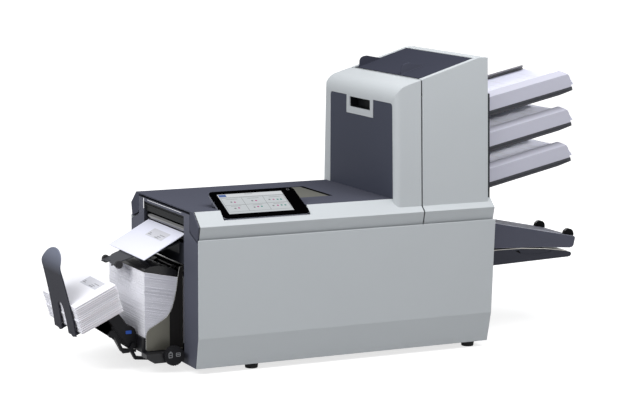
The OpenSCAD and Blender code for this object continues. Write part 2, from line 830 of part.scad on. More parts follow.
module catch_paddle() {
    line = [[0.3, 90], [-3.9, 120], [-12, 160], [-21.3, 200], [-28.8, 230], [-31.6, 240], [-32.5, 246],
        [-31.9, 252], [-29, 260], [-25.2, 270], [-21, 283]];
    color([0.27, 0.27, 0.3]) {
        intersection() {
            along_y(0, body_d) translate([paddle_x, 0])
                polygon(concat(line, [for (k = [10:-1:0]) line[k] - [paddle_t, 0]]));
            along_x(paddle_x - 60, paddle_x + 20) translate([catch_y, 0]) difference() {
                polygon(concat([[72.5, 89]], [for (a = [0:7.5:180]) [62.5 * cos(a), 245 + 38 * sin(a)]],
                    [[-72.5, 89]]));
                polygon([[-25, 80], [-17.5, 141], [17.5, 141], [25, 80]]);
                translate([0, 141]) circle(r = 17.5);
            }
        }
        on_catch() for (y = [catch_y - arm_y, catch_y + arm_y]) {
            block([-113, y - 6, -8], [-4, y + 6, 0]);
            block([-113, y - 6, -1], [-107, y + 6, 4]);
        }
    }
}

module release_lever() {
    y0 = catch_y - arm_y - 19;
    color([0.1, 0.1, 0.1]) {
        rod(bail_x, bail_z, y0, catch_y + arm_y + 5.5, 2.5);
        along_y(y0, y0 + 6) {
            polygon([[-156, 85], [-140.5, 50.5], [-133, 40], [-118, 40.5], [-104.5, 52.5],
                [-110, 59.5], [-120.5, 47.5], [-130, 46.5], [-134, 53.5], [-149.5, 88]]);
            translate([bail_x, bail_z]) circle(r = 5.5);
            translate([-159, 86.5]) circle(r = 8.5);
        }
    }
}

// Rollers and shafts
module feed_roller(i) {
    color([0.15, 0.15, 0.16]) {
        rod(feed[i].x, feed[i].y, frame_y - 3, body_d - frame_y + 2, shaft_r);
        for (y = [-84, -18, 48]) rod(feed[i].x, feed[i].y, mid + y, mid + y + 36, roller_r);
    }
}

module feed_roller_1() {
    feed_roller(0);
}

module feed_roller_2() {
    feed_roller(1);
}

module feed_roller_3() {
    feed_roller(2);
}

module fold_roller(z) {
    color([0.3, 0.3, 0.32]) {
        rod(fold_x, z, frame_y - 3, body_d - frame_y + 2, shaft_r);
        rod(fold_x, z, frame_y + frame_t + 2, body_d - frame_y - frame_t - 2, fold_r);
    }
}

module fold_rollers_upper() {
    fold_roller(fold_z1);
}

module fold_rollers_lower() {
    fold_roller(fold_z2);
}

module envelope_feed_roller() {
    color([0.15, 0.15, 0.16]) {
        rod(env_x, env_z, frame_y - 3, body_d - frame_y + 2, shaft_r);
        for (y = [-70, 40]) rod(env_x, env_z, mid + y, mid + y + 30, 14);
    }
}

// Inside
module path_plates() {
    y0 = frame_y + frame_t;
    color("silver") {
        block([fold_x + 34, y0, 300], [fold_x + 35.5, body_d - y0, tower_top - 110]);
        block([fold_x + 42, y0, 300], [fold_x + 43.5, body_d - y0, tower_top - 110]);
        block([70, y0, fold_z1 - 25], [fold_x - 30, body_d - y0, fold_z1 - 23.5]);
        block([70, y0, fold_z1 - 12], [fold_x - 30, body_d - y0, fold_z1 - 10.5]);
    }
}

module stepper_motors() {
    y0 = body_d - frame_y;
    color([0.2, 0.2, 0.2]) for (p = [feed[1], [fold_x, fold_z1], [env_x, env_z]]) difference() {
        block([p.x - 21, y0, p.y - 21], [min(p.x + 21, tower_r - 7), y0 + 33, p.y + 21]);
        rod(p.x, p.y, y0 - 1, y0 + 3, 8);
    }
}

module power_supply() {
    w = 100;
    y1 = body_d - frame_y - frame_t - 17;
    color("silver") difference() {
        block([380, y1 - w, floor_z], [560, y1, floor_z + 60]);
        block([382, y1 - w + 2, floor_z + 2], [558, y1 - 2, floor_z + 61]);
        for (i = [0:9]) block([395 + 16 * i, y1 - w - 10, floor_z + 15],
            [401 + 16 * i, y1 + 10, floor_z + 45]);
    }
}

module control_board() {
    color([0.1, 0.35, 0.2]) {
        block([300, 46, 90], [500, 47.6, 230]);
        for (x = [310, 490], z = [100, 220]) rod(x, z, 47, frame_y, 3);
        for (p = [[330, 130], [400, 170], [440, 110]]) block([p.x, 43, p.y], [p.x + 28, 46.5, p.y + 28]);
    }
}

module water_tank() {
    color([0.7, 0.75, 0.8]) {
        difference() {
            union() {
                block([120, mid - 110, floor_z], [240, mid + 10, 110]);
                translate([180, mid - 50, 109]) cylinder(h = 9, r = 16);
            }
            block([123, mid - 107, floor_z + 3], [237, mid + 7, 107]);
            translate([180, mid - 50, 100]) cylinder(h = 20, r = 13);
        }
        translate([180, mid - 50, 118]) cylinder(h = 8, r = 19);
    }
}

module hinge_pins() {
    color("silver") {
        both() rod(hinge_x, hinge_z, slope_d + 10, post_y + 28, 4);
        rod(weight_x, weight_z, mid - gate - 8, mid + gate + 8, pin_r);
        rod(flap_x, flap_z, mid - insert_w / 2 - 8, mid + insert_w / 2 + 8, pin_r);
    }
}

module cover_screws() {
    color("dimgray") both() for (z = [110, 195, 280])
        translate([right_x + cover_t, 34, z]) rotate([0, 90, 0]) cylinder(h = 2.2, r = 3.5);
}

// Moves a piece from the layout into the shared frame
module place() {
    translate([-origin_x, -body_d / 2, 0]) children();
}

place() base_tray();
place() rubber_feet();
place() side_frames();
place() front_cover();
place() rear_cover();
place() left_end_frame();
place() right_end_cover();
place() tower_cover();
place() tower_top_panel();
place() feeder_panel();
place() document_tray_1();
place() document_tray_2();
place() document_tray_3();
place() paper_stacks();
place() insert_tray();
place() exit_header();
place() exit_slide();
place() hopper_base();
place() catch_bracket();
place() hopper_envelopes();
place() finished_envelopes();
place() path_plates();
place() stepper_motors();
place() power_supply();
place() control_board();
place() water_tank();
place() mains_inlet();
place() cover_screws();
place() hinge_pins();
place() hood_deck();
place() hood_side_rails();
place() tower_door();
place() door_inlay();
place() display_housing();
place() display_glass();
place() inspection_window();
place() power_button();
place() front_guide_1();
place() front_guide_2();
place() front_guide_3();
place() rear_guide_1();
place() rear_guide_2();
place() rear_guide_3();
place() hopper_front_guide();
place() hopper_rear_guide();
place() envelope_weight();
place() exit_idler_wheels();
place() setting_knob();
place() catch_paddle();
place() exit_roller_upper();
place() exit_roller_lower();
place() feed_roller_1();
place() feed_roller_2();
place() feed_roller_3();
place() fold_rollers_upper();
place() fold_rollers_lower();
place() envelope_feed_roller();
place() insert_stops();
place() divert_flap();
place() release_lever();
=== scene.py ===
import json
import math

import bmesh
import bpy
import numpy as np
from mathutils import Matrix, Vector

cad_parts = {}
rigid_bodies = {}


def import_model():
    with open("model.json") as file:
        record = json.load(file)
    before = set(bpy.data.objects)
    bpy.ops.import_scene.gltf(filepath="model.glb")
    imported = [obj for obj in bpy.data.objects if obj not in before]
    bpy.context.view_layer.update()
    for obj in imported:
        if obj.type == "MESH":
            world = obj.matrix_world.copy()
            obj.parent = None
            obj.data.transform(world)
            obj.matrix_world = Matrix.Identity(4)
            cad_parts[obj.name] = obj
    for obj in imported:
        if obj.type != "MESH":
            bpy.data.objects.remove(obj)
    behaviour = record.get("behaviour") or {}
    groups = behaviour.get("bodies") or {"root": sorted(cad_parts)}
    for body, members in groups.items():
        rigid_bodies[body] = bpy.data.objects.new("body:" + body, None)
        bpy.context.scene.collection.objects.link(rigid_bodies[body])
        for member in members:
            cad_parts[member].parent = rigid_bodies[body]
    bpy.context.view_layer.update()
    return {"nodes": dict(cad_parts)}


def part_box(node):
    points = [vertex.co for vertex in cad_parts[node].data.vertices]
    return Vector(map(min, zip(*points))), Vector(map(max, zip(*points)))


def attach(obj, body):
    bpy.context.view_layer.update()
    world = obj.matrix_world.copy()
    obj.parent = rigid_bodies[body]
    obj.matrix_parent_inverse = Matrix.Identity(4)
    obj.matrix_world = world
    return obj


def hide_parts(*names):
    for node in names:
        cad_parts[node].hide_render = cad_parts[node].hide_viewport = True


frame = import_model()
scene = bpy.context.scene
scene.view_settings.view_transform = "Standard"

# Camera. A long lens on a tripod at the machine's left front, a little above the trays, level
# to a quarter of a degree. Its place and turn were fitted to the machine's straight edges.
photo_width = 630.0
focal_length_pixels = 2157.84
lens_right = (0.902599, -0.430460, 0.004355)
lens_up = (0.060670, 0.137217, 0.988681)
lens_ahead = (0.426186, 0.892119, -0.149968)
tripod = (-2.19235, -4.57635, 1.11368)
camera_data = bpy.data.cameras.new("camera")
camera_data.sensor_fit = "HORIZONTAL"
camera_data.sensor_width = 36.0
camera_data.lens = 36.0 * focal_length_pixels / photo_width
camera_data.clip_end = 80.0
camera = bpy.data.objects.new("camera", camera_data)
camera.matrix_world = Matrix(
    [[lens_right[k], lens_up[k], -lens_ahead[k], tripod[k]] for k in range(3)] + [[0, 0, 0, 1]]
)
scene.collection.objects.link(camera)
scene.camera = camera


# Studio floor and light. A pale seamless floor that reads white and keeps the machine's shadow, a
# wide softbox overhead, a little in front of the machine, weak ones at the left for the
# envelopes and at the right and behind for the trays, and even light from the white room.
def link_object(name, mesh):
    """Puts a mesh into the scene as an object at the origin."""
    placed = bpy.data.objects.new(name, mesh)
    scene.collection.objects.link(placed)
    return placed


def camera_sees(tree):
    """A factor that is 1 for rays from the camera and for the mirrored and refracted views of it."""
    rays = tree.nodes.new("ShaderNodeLightPath")
    direct = tree.nodes.new("ShaderNodeMath")
    direct.operation = "MAXIMUM"
    tree.links.new(rays.outputs["Is Camera Ray"], direct.inputs[0])
    tree.links.new(rays.outputs["Is Glossy Ray"], direct.inputs[1])
    seen = tree.nodes.new("ShaderNodeMath")
    seen.operation = "MAXIMUM"
    tree.links.new(direct.outputs[0], seen.inputs[0])
    tree.links.new(rays.outputs["Is Transmission Ray"], seen.inputs[1])
    return seen.outputs[0]


floor_reach = 45.0
floor_drop = 0.0002
floor_mesh = bpy.data.meshes.new("studio_floor")
corners = floor_reach * np.array([[-1, -1, 0], [1, -1, 0], [1, 1, 0], [-1, 1, 0]], float)
floor_mesh.from_pydata((corners - [0, 0, floor_drop]).tolist(), [], [(0, 1, 2, 3)])
studio_floor = link_object("studio_floor", floor_mesh)
floor_paint = bpy.data.materials.new("seamless_floor")
floor_paint.use_nodes = True
tree = floor_paint.node_tree
matt = tree.nodes["Principled BSDF"]
matt.inputs["Base Color"].default_value = (0.52, 0.52, 0.52, 1)
matt.inputs["Roughness"].default_value = 0.95
matt.inputs["Specular IOR Level"].default_value = 0.0
glow = tree.nodes.new("ShaderNodeEmission")
reach = tree.nodes.new("ShaderNodeVectorMath")
reach.operation = "LENGTH"
tree.links.new(tree.nodes.new("ShaderNodeTexCoord").outputs["Object"], reach.inputs[0])
fade = tree.nodes.new("ShaderNodeMapRange")
for socket, value in (("From Min", 0.7), ("From Max", 2.4), ("To Min", 0.74), ("To Max", 0.98)):
    fade.inputs[socket].default_value = value
tree.links.new(reach.outputs["Value"], fade.inputs["Value"])
tree.links.new(fade.outputs[0], glow.inputs["Strength"])
dark = tree.nodes.new("ShaderNodeEmission")
dark.inputs["Strength"].default_value = 0.0
lift = tree.nodes.new("ShaderNodeMixShader")
tree.links.new(camera_sees(tree), lift.inputs["Fac"])
tree.links.new(dark.outputs[0], lift.inputs[1])
tree.links.new(glow.outputs[0], lift.inputs[2])
both = tree.nodes.new("ShaderNodeAddShader")
tree.links.new(matt.outputs[0], both.inputs[0])
tree.links.new(lift.outputs[0], both.inputs[1])
tree.links.new(both.outputs[0], tree.nodes["Material Output"].inputs["Surface"])
floor_mesh.materials.append(floor_paint)

room = bpy.data.worlds.new("white_room")
scene.world = room
room.use_nodes = True
tree = room.node_tree
walls = tree.nodes["Background"]
walls.inputs["Color"].default_value = (0.97, 0.985, 1.0, 1)
walls.inputs["Strength"].default_value = 0.37
backdrop = tree.nodes.new("ShaderNodeBackground")
backdrop.inputs["Strength"].default_value = 1.0
view = tree.nodes.new("ShaderNodeMixShader")
tree.links.new(camera_sees(tree), view.inputs["Fac"])
tree.links.new(walls.outputs[0], view.inputs[1])
tree.links.new(backdrop.outputs[0], view.inputs[2])
tree.links.new(view.outputs[0], tree.nodes["World Output"].inputs["Surface"])


def softbox(name, watts, width, place, aim):
    """A square area lamp of that width, turned so that its -Z axis points from its place to its aim."""
    lamp = bpy.data.lights.new(name, "AREA")
    lamp.energy = watts
    lamp.size = width
    stand = bpy.data.objects.new(name, lamp)
    away = np.subtract(place, aim) / np.linalg.norm(np.subtract(place, aim))
    side = np.cross((0.0, 1.0, 0.001), away)
    side /= np.linalg.norm(side)
    top = np.cross(away, side)
    stand.matrix_world = Matrix([[side[k], top[k], away[k], place[k]] for k in range(3)] + [[0, 0, 0, 1]])
    scene.collection.objects.link(stand)
    return stand


softbox("softbox_overhead", 32.0, 1.7, (0.25, -0.80, 2.05), (0.0, 0.0, 0.35))
softbox("softbox_left", 10.0, 0.8, (-1.40, -0.35, 1.05), (-0.5, -0.05, 0.2))
softbox("softbox_right", 9.0, 1.0, (2.1, 0.75, 0.85), (0.55, 0.05, 0.5))
tray_light = softbox("softbox_rear", 0.75, 0.26, (0.66, 1.10, 0.80), (0.56, 0.0, 0.47))
tray_light.data.spread = math.radians(32)


# Base tray and feet. A pressed steel floor tray in dark paint that everything stands on, with four
# tapered rubber feet screwed under it.
def node_group(name, given, made):
    """A shader node group with these inputs (name, type, value) and outputs (name, type)."""
    group = bpy.data.node_groups.new(name, "ShaderNodeTree")
    for socket, kind, value in given:
        group.interface.new_socket(socket, in_out="INPUT", socket_type=kind).default_value = value
    for socket, kind in made:
        group.interface.new_socket(socket, in_out="OUTPUT", socket_type=kind)
    return group, group.nodes.new("NodeGroupInput"), group.nodes.new("NodeGroupOutput")


def add_node(tree, kind, links=(), **values):
    """A shader node with its properties or inputs set by name, and links given as (input, output socket)."""
    node = tree.nodes.new(kind)
    for key, value in values.items():
        if key in node.bl_rna.properties:
            setattr(node, key, value)
    for key, value in values.items():
        if key not in node.bl_rna.properties:
            node.inputs[key.replace("_", " ")].default_value = value
    for key, socket in links:
        tree.links.new(socket, node.inputs[key])
    return node


moulded_grain, given, made = node_group(
    "moulded_grain",
    [
        ("Color", "NodeSocketColor", (0.5, 0.5, 0.5, 1)),
        ("Mottle", "NodeSocketFloat", 0.04),
        ("Roughness", "NodeSocketFloat", 0.5),
        ("Grains per metre", "NodeSocketFloat", 900.0),
        ("Depth", "NodeSocketFloat", 0.15),
    ],
    [("Color", "NodeSocketColor"), ("Roughness", "NodeSocketFloat"), ("Normal", "NodeSocketVector")],
)
where = add_node(moulded_grain, "ShaderNodeTexCoord").outputs["Object"]
fine = add_node(
    moulded_grain,
    "ShaderNodeTexNoise",
    [("Vector", where), ("Scale", given.outputs["Grains per metre"])],
    Detail=2.0,
    Roughness=0.6,
)
relief = add_node(
    moulded_grain,
    "ShaderNodeBump",
    [("Height", fine.outputs["Fac"]), ("Strength", given.outputs["Depth"])],
    Distance=0.0004,
)
broad = add_node(moulded_grain, "ShaderNodeTexNoise", [("Vector", where)], Scale=7.0, Detail=4.0)
centred = add_node(moulded_grain, "ShaderNodeMath", [(0, broad.outputs["Fac"])], operation="SUBTRACT")
centred.inputs[1].default_value = 0.5
shade = add_node(
    moulded_grain,
    "ShaderNodeMath",
    [(0, centred.outputs[0]), (1, given.outputs["Mottle"])],
    operation="MULTIPLY_ADD",
)
shade.inputs[2].default_value = 1.0
tinted = add_node(
    moulded_grain,
    "ShaderNodeVectorMath",
    [(0, given.outputs["Color"]), ("Scale", shade.outputs[0])],
    operation="SCALE",
)
patchy = add_node(
    moulded_grain,
    "ShaderNodeMath",
    [(0, fine.outputs["Fac"]), (2, given.outputs["Roughness"])],
    operation="MULTIPLY_ADD",
)
patchy.inputs[1].default_value = 0.12
moulded_grain.links.new(tinted.outputs[0], made.inputs["Color"])
moulded_grain.links.new(patchy.outputs[0], made.inputs["Roughness"])
moulded_grain.links.new(relief.outputs[0], made.inputs["Normal"])


def dress(name, group, values, specular, metallic=0.0):
    """A material whose colour, roughness and normal come from a finish group set to these values."""
    material = bpy.data.materials.new(name)
    material.use_nodes = True
    tree = material.node_tree
    surface = tree.nodes["Principled BSDF"]
    finish = tree.nodes.new("ShaderNodeGroup")
    finish.node_tree = group
    for socket, value in values.items():
        finish.inputs[socket].default_value = value
    surface.inputs["Specular IOR Level"].default_value = specular
    surface.inputs["Metallic"].default_value = metallic
    tree.links.new(finish.outputs["Color"], surface.inputs["Base Color"])
    tree.links.new(finish.outputs["Roughness"], surface.inputs["Roughness"])
    tree.links.new(finish.outputs["Normal"], surface.inputs["Normal"])
    return material


def moulding(name, colour, rough=0.45, grains=900.0, depth=0.15, mottle=0.05, specular=0.35):
    """Moulded plastic, paint or rubber: one colour with a fine moulded grain and a faint mottle."""
    values = {
        "Color": (*colour, 1),
        "Mottle": mottle,
        "Roughness": rough,
        "Grains per metre": grains,
        "Depth": depth,
    }
    return dress(name, moulded_grain, values, specular)


def soften(node, radius, *finishes, turn=32.0):
    """A copy of a CAD node with its triangles joined into flat faces and its edges rounded to a radius.
    Only narrow faces between slight bends are shaded as curved. A second finish goes on the edges."""
    mesh = frame["nodes"][node].data.copy()
    mesh.name = node + "_shell"
    shell = bmesh.new()
    shell.from_mesh(mesh)
    bmesh.ops.remove_doubles(shell, verts=shell.verts, dist=1e-5)
    bmesh.ops.dissolve_limit(shell, angle_limit=math.radians(0.4), verts=shell.verts, edges=shell.edges)
    for face in shell.faces:
        bends = [edge.calc_face_angle(0.0) for edge in face.edges]
        curved = sum(math.radians(1) < bend < math.radians(25) for bend in bends) > 1
        face.smooth = curved and face.calc_area() < 0.0045
        face.material_index = 0
    shell.to_mesh(mesh)
    shell.free()
    if "custom_normal" in mesh.attributes:
        mesh.attributes.remove(mesh.attributes["custom_normal"])
    mesh.set_sharp_from_angle(angle=math.radians(turn))
    mesh.materials.clear()
    for finish in finishes:
        mesh.materials.append(finish)
    piece = link_object(node + "_shell", mesh)
    if radius:
        round_off = piece.modifiers.new("rounded_edges", "BEVEL")
        round_off.width = radius
        round_off.segments = 3
        round_off.limit_method = "ANGLE"
        round_off.angle_limit = math.radians(turn)
        round_off.harden_normals = True
        round_off.material = len(finishes) - 1 if len(finishes) > 1 else -1
    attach(piece, frame["nodes"][node].parent.name.removeprefix("body:"))
    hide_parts(node)
    return piece


dark_paint = moulding("dark_tray_paint", (0.045, 0.046, 0.05), 0.4, 500.0, 0.1)
soften("base_tray", 0.0005, dark_paint)
foot_rubber = moulding("foot_rubber", (0.010, 0.010, 0.011), 0.75, 1400.0, 0.3, 0.1)
soften("rubber_feet", 0.0012, foot_rubber)


# Side frames, path plates and power supply. Bright zinc plated sheet, laser cut and folded, with
# the rolling direction showing as faint streaks along the machine.
brushed_sheet, given, made = node_group(
    "brushed_sheet",
    [
        ("Color", "NodeSocketColor", (0.5, 0.5, 0.5, 1)),
        ("Streaks", "NodeSocketVector", (12.0, 12.0, 700.0)),
        ("Contrast", "NodeSocketFloat", 0.2),
        ("Roughness", "NodeSocketFloat", 0.35),
    ],
    [("Color", "NodeSocketColor"), ("Roughness", "NodeSocketFloat"), ("Normal", "NodeSocketVector")],
)
where = add_node(brushed_sheet, "ShaderNodeTexCoord").outputs["Object"]
drawn_out = add_node(
    brushed_sheet,
    "ShaderNodeVectorMath",
    [(0, where), (1, given.outputs["Streaks"])],
    operation="MULTIPLY",
)
lines = add_node(
    brushed_sheet,
    "ShaderNodeTexNoise",
    [("Vector", drawn_out.outputs[0])],
    Scale=1.0,
    Detail=3.0,
)
spread = add_node(brushed_sheet, "ShaderNodeMath", [(0, lines.outputs["Fac"])], operation="SUBTRACT")
spread.inputs[1].default_value = 0.5
shade = add_node(
    brushed_sheet,
    "ShaderNodeMath",
    [(0, spread.outputs[0]), (1, given.outputs["Contrast"])],
    operation="MULTIPLY_ADD",
)
shade.inputs[2].default_value = 1.0
tinted = add_node(
    brushed_sheet,
    "ShaderNodeVectorMath",
    [(0, given.outputs["Color"]), ("Scale", shade.outputs[0])],
    operation="SCALE",
)
worn = add_node(
    brushed_sheet,
    "ShaderNodeMath",
    [(0, spread.outputs[0]), (2, given.outputs["Roughness"])],
    operation="MULTIPLY_ADD",
)
worn.inputs[1].default_value = 0.25
relief = add_node(
    brushed_sheet,
    "ShaderNodeBump",
    [("Height", lines.outputs["Fac"])],
    Strength=0.08,
    Distance=0.0002,
)
brushed_sheet.links.new(tinted.outputs[0], made.inputs["Color"])
brushed_sheet.links.new(worn.outputs[0], made.inputs["Roughness"])
brushed_sheet.links.new(relief.outputs[0], made.inputs["Normal"])


def brushed(name, colour, streaks=(12.0, 12.0, 700.0), rough=0.35, contrast=0.2, metallic=1.0):
    """Sheet or turned metal with streaks that are long where a streak value is low."""
    values = {"Color": (*colour, 1), "Streaks": streaks, "Contrast": contrast, "Roughness": rough}
    return dress(name, brushed_sheet, values, 0.5, metallic)


zinc = brushed("zinc_plate", (0.62, 0.63, 0.64))
for node in ("side_frames", "path_plates", "power_supply"):
    soften(node, 0.0003, zinc)


# Motors, control board and water tank. Three stepper motors on the rear frame, a green circuit board
# on studs at the front frame, and a blow moulded tank for the water that wets the envelope flaps.
motor_paint = moulding("motor_case", (0.02, 0.02, 0.022), 0.35, 700.0, 0.1)
soften("stepper_motors", 0.002, motor_paint)
board_lacquer = moulding("board_lacquer", (0.012, 0.10, 0.045), 0.3, 260.0, 0.35, 0.5)
soften("control_board", 0.0002, board_lacquer)
tank_plastic = moulding("tank_plastic", (0.55, 0.62, 0.68), 0.25, 120.0, 0.2, 0.15)
soften("water_tank", 0.003, tank_plastic)

# Rollers and hinge pins. Shafts with ribbed rubber tyres for the sheets and envelopes, two full width
# fold rollers in hard dark rubber, and the blackened steel pins that the hood turns on.
roller_rubber = moulding("roller_rubber", (0.018, 0.018, 0.02), 0.6, 420.0, 0.4, 0.15)
for node in ("feed_roller_1", "feed_roller_2", "feed_roller_3", "envelope_feed_roller"):
    soften(node, 0.0008, roller_rubber)
for node in ("fold_rollers_upper", "fold_rollers_lower"):
    soften(node, 0.0008, roller_rubber)
blackened = brushed("blackened_steel", (0.05, 0.05, 0.052), (700.0, 8.0, 700.0), 0.4, 0.15, 0.5)
soften("hinge_pins", 0.0004, blackened)

# Front and rear covers. Sheet steel in light grey powder coat, folded inwards along a line near the
# foot. The rear one has vent slots and the opening for the mains inlet.
coat_grey = (0.557, 0.587, 0.611)
powder_coat = moulding("powder_coat", coat_grey, 0.45, 620.0, 0.22, 0.03, 0.15)
for node in ("front_cover", "rear_cover"):
    soften(node, 0.0011, powder_coat, turn=5.0)
inlet_plastic = moulding("inlet_plastic", (0.012, 0.012, 0.013), 0.4, 1100.0, 0.2, 0.1)
soften("mains_inlet", 0.0006, inlet_plastic)

# Left and right ends. Dark moulded end frames: the left one carries the hopper, the exit rollers and
# the hood's hinges, and inside its gate and on its top faces it is painted darker as painted shade; the
# right one closes the body round the insert tray and is held by small steel screws.
dark_moulding = moulding("dark_moulding", (0.095, 0.100, 0.132), 0.50, 1000.0, 0.25, 0.06, 0.08)
# A darker copy of the end frame moulding: painted shade for the inside of the gate and the top faces.
throat_plastic = moulding("throat_plastic", (0.040, 0.042, 0.052), 0.50, 1000.0, 0.25, 0.06, 0.0)
end_frame = soften("left_end_frame", 0.0012, dark_moulding)
end_frame.data.materials.append(throat_plastic)
lows, highs = np.array(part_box("left_end_frame"))
gate_half_width = 0.1245
for face in end_frame.data.polygons:
    off_centre = abs(face.center.y - (lows[1] + highs[1]) / 2)
    in_gate = off_centre < gate_half_width and face.center.z > 0.1
    within = lows[0] + 0.002 < face.center.x < highs[0] - 0.001
    if within and (in_gate or face.center.z > highs[2] - 0.0005):
        face.material_index = 1
soften("right_end_cover", 0.0012, dark_moulding)
screw_steel = brushed("screw_steel", (0.30, 0.30, 0.31), (300.0, 300.0, 300.0), 0.35, 0.3)
soften("cover_screws", 0.0005, screw_steel)

# Envelope hopper. A black moulded floor that slopes towards the machine, between two folded steel
# side guides in dull olive lacquer with bright cut edges.
black_moulding = moulding("black_moulding", (0.009, 0.009, 0.011), 0.36, 900.0, 0.25, 0.12, 0.32)
soften("hopper_base", 0.0015, black_moulding)
guide_lacquer = brushed("hopper_guide_lacquer", (0.125, 0.121, 0.100), (20.0, 700.0, 14.0), 0.42, 0.25, 0.4)
cut_steel = brushed("cut_steel_edge", (0.80, 0.80, 0.81), (60.0, 60.0, 60.0), 0.25, 0.1)
for node in ("hopper_front_guide", "hopper_rear_guide"):
    soften(node, 0.0004, guide_lacquer, cut_steel)

# Envelopes in the hopper. A pile of blank white envelopes standing on the sloping floor, each a folded
# and glued sheet with soft edges, knocked together by hand so that no two edges line up exactly.
table_corner = np.array(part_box("front_cover")[0])


def row(points):
    """Row frame metres from millimetres measured from the body's left front corner on the table."""
    return np.asarray(points, float) / 1000.0 + [table_corner[0], table_corner[1], 0.0]


def rounded_outline(width, height, radius, steps):
    """Points round a rectangle from (0, 0) to (width, height), counterclockwise: each corner is a
    quarter circle about a centre one radius in from both sides."""
    centres = np.array([[width, height], [0, height], [0, 0], [width, 0]], float)
    centres += radius * np.array([[-1, -1], [1, -1], [1, 1], [-1, 1]])
    turns = np.linspace(0, np.pi / 2, steps + 1) + (np.pi / 2) * np.arange(4)[:, None]
    return (centres[:, None] + radius * np.stack((np.cos(turns), np.sin(turns)), -1)).reshape(-1, 2)


def closed_solids(name, rings, finish, body="machine", end_finish=None):
    """Closed solids from rings[solid, station, corner]: corner j of a station joins corner j of the
    next as quads, and the first and last stations are filled, in a finish of their own if given."""
    rings = np.asarray(rings, float)
    count, stations, corners, _ = rings.shape
    index = np.arange(count * stations * corners).reshape(count, stations, corners)
    turned = np.roll(index, -1, axis=2)
    sides = np.stack((index[:, :-1], turned[:, :-1], turned[:, 1:], index[:, 1:]), -1).reshape(-1, 4)
    ends = np.concatenate((index[:, 0, ::-1], index[:, -1]))
    mesh = bpy.data.meshes.new(name)
    mesh.from_pydata(rings.reshape(-1, 3).tolist(), [], sides.tolist() + ends.tolist())
    shell = bmesh.new()
    shell.from_mesh(mesh)
    bmesh.ops.recalc_face_normals(shell, faces=shell.faces)
    shell.to_mesh(mesh)
    shell.free()
    mesh.materials.append(finish)
    if end_finish:
        mesh.materials.append(end_finish)
        which = np.repeat([0, 1], [len(sides), len(ends)]).astype(np.int32)
        mesh.polygons.foreach_set("material_index", which)
    piece = link_object(name, mesh)
    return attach(piece, body)


paper_fibre, given, made = node_group(
    "paper_fibre",
    [
        ("Color", "NodeSocketColor", (0.8, 0.8, 0.8, 1)),
        ("Sheet normal", "NodeSocketVector", (0.0, 0.0, 1.0)),
        ("Sheets per metre", "NodeSocketFloat", 900.0),
        ("Edge shade", "NodeSocketFloat", 0.2),
    ],
    [("Color", "NodeSocketColor"), ("Roughness", "NodeSocketFloat"), ("Normal", "NodeSocketVector")],
)
where = add_node(paper_fibre, "ShaderNodeTexCoord").outputs["Object"]
height = add_node(
    paper_fibre,
    "ShaderNodeVectorMath",
    [(0, where), (1, given.outputs["Sheet normal"])],
    operation="DOT_PRODUCT",
)
sheet = add_node(
    paper_fibre,
    "ShaderNodeMath",
    [(0, height.outputs["Value"]), (1, given.outputs["Sheets per metre"])],
    operation="MULTIPLY",
)
edges = add_node(
    paper_fibre,
    "ShaderNodeTexNoise",
    [("W", sheet.outputs[0])],
    noise_dimensions="1D",
    Scale=1.0,
    Detail=2.0,
)
spread = add_node(paper_fibre, "ShaderNodeMath", [(0, edges.outputs["Fac"])], operation="SUBTRACT")
spread.inputs[1].default_value = 0.5
shade = add_node(
    paper_fibre,
    "ShaderNodeMath",
    [(0, spread.outputs[0]), (1, given.outputs["Edge shade"])],
    operation="MULTIPLY_ADD",
)
shade.inputs[2].default_value = 1.0
tinted = add_node(
    paper_fibre,
    "ShaderNodeVectorMath",
    [(0, given.outputs["Color"]), ("Scale", shade.outputs[0])],
    operation="SCALE",
)
fibre = add_node(paper_fibre, "ShaderNodeTexNoise", [("Vector", where)], Scale=1600.0, Detail=3.0)
soft = add_node(paper_fibre, "ShaderNodeMath", [(0, fibre.outputs["Fac"])], operation="MULTIPLY_ADD")
soft.inputs[1].default_value = 0.2
soft.inputs[2].default_value = 0.72
relief = add_node(
    paper_fibre,
    "ShaderNodeBump",
    [("Height", fibre.outputs["Fac"])],
    Strength=0.12,
    Distance=0.0002,
)
paper_fibre.links.new(tinted.outputs[0], made.inputs["Color"])
paper_fibre.links.new(soft.outputs[0], made.inputs["Roughness"])
paper_fibre.links.new(relief.outputs[0], made.inputs["Normal"])


def paper(name, colour, normal, sheets, edge_shade):
    """White paper with fine fibres, and fine lines where the cut edges of sheets lie on each other."""
    values = {
        "Color": (*colour, 1),
        "Sheet normal": normal,
        "Sheets per metre": sheets,
        "Edge shade": edge_shade,
    }
    return dress(name, paper_fibre, values, 0.25)


hopper_slope = math.tan(math.radians(11.9))
envelope_width = 229.0
envelope_depth = 114.0
envelope_front = 95.5
pile_height = 150.0
pile_count = 58
pile_step = pile_height / pile_count
knock = np.random.default_rng(11)
outline = rounded_outline(envelope_depth, 0.99 * pile_step, 0.2 * pile_step, 2)
shift = knock.normal(0, 0.4, (pile_count, 2, 1, 1)).clip(-1.0, 1.0)
level = (pile_step * np.arange(pile_count))[:, None, None]
x = -92.0 + outline[:, 0] + shift[:, 0] + np.zeros((pile_count, 2, 1))
z = 79.2 - hopper_slope * (x + 98.0) + level + outline[:, 1]
y = np.array([[envelope_front], [envelope_front + envelope_width]]) + shift[:, 1] + np.zeros_like(x)
pile_paper = paper("hopper_envelope_paper", (0.94, 0.94, 0.99), (0.206, 0.0, 0.978), 700.0, 0.12)
# The pile's front and rear ends get a darker copy of the paper: the stronger sheet edge lines are real, the
# darker base colour is painted shade.
side_paper_painted_shade = paper("hopper_envelope_sides", (0.70, 0.70, 0.77), (0.206, 0.0, 0.978), 700.0, 0.30)
pile_rings = row(np.stack((x, y, z), -1))
hopper_pile = closed_solids(
    "hopper_envelope_pile", pile_rings, pile_paper, end_finish=side_paper_painted_shade
)
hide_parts("hopper_envelopes")
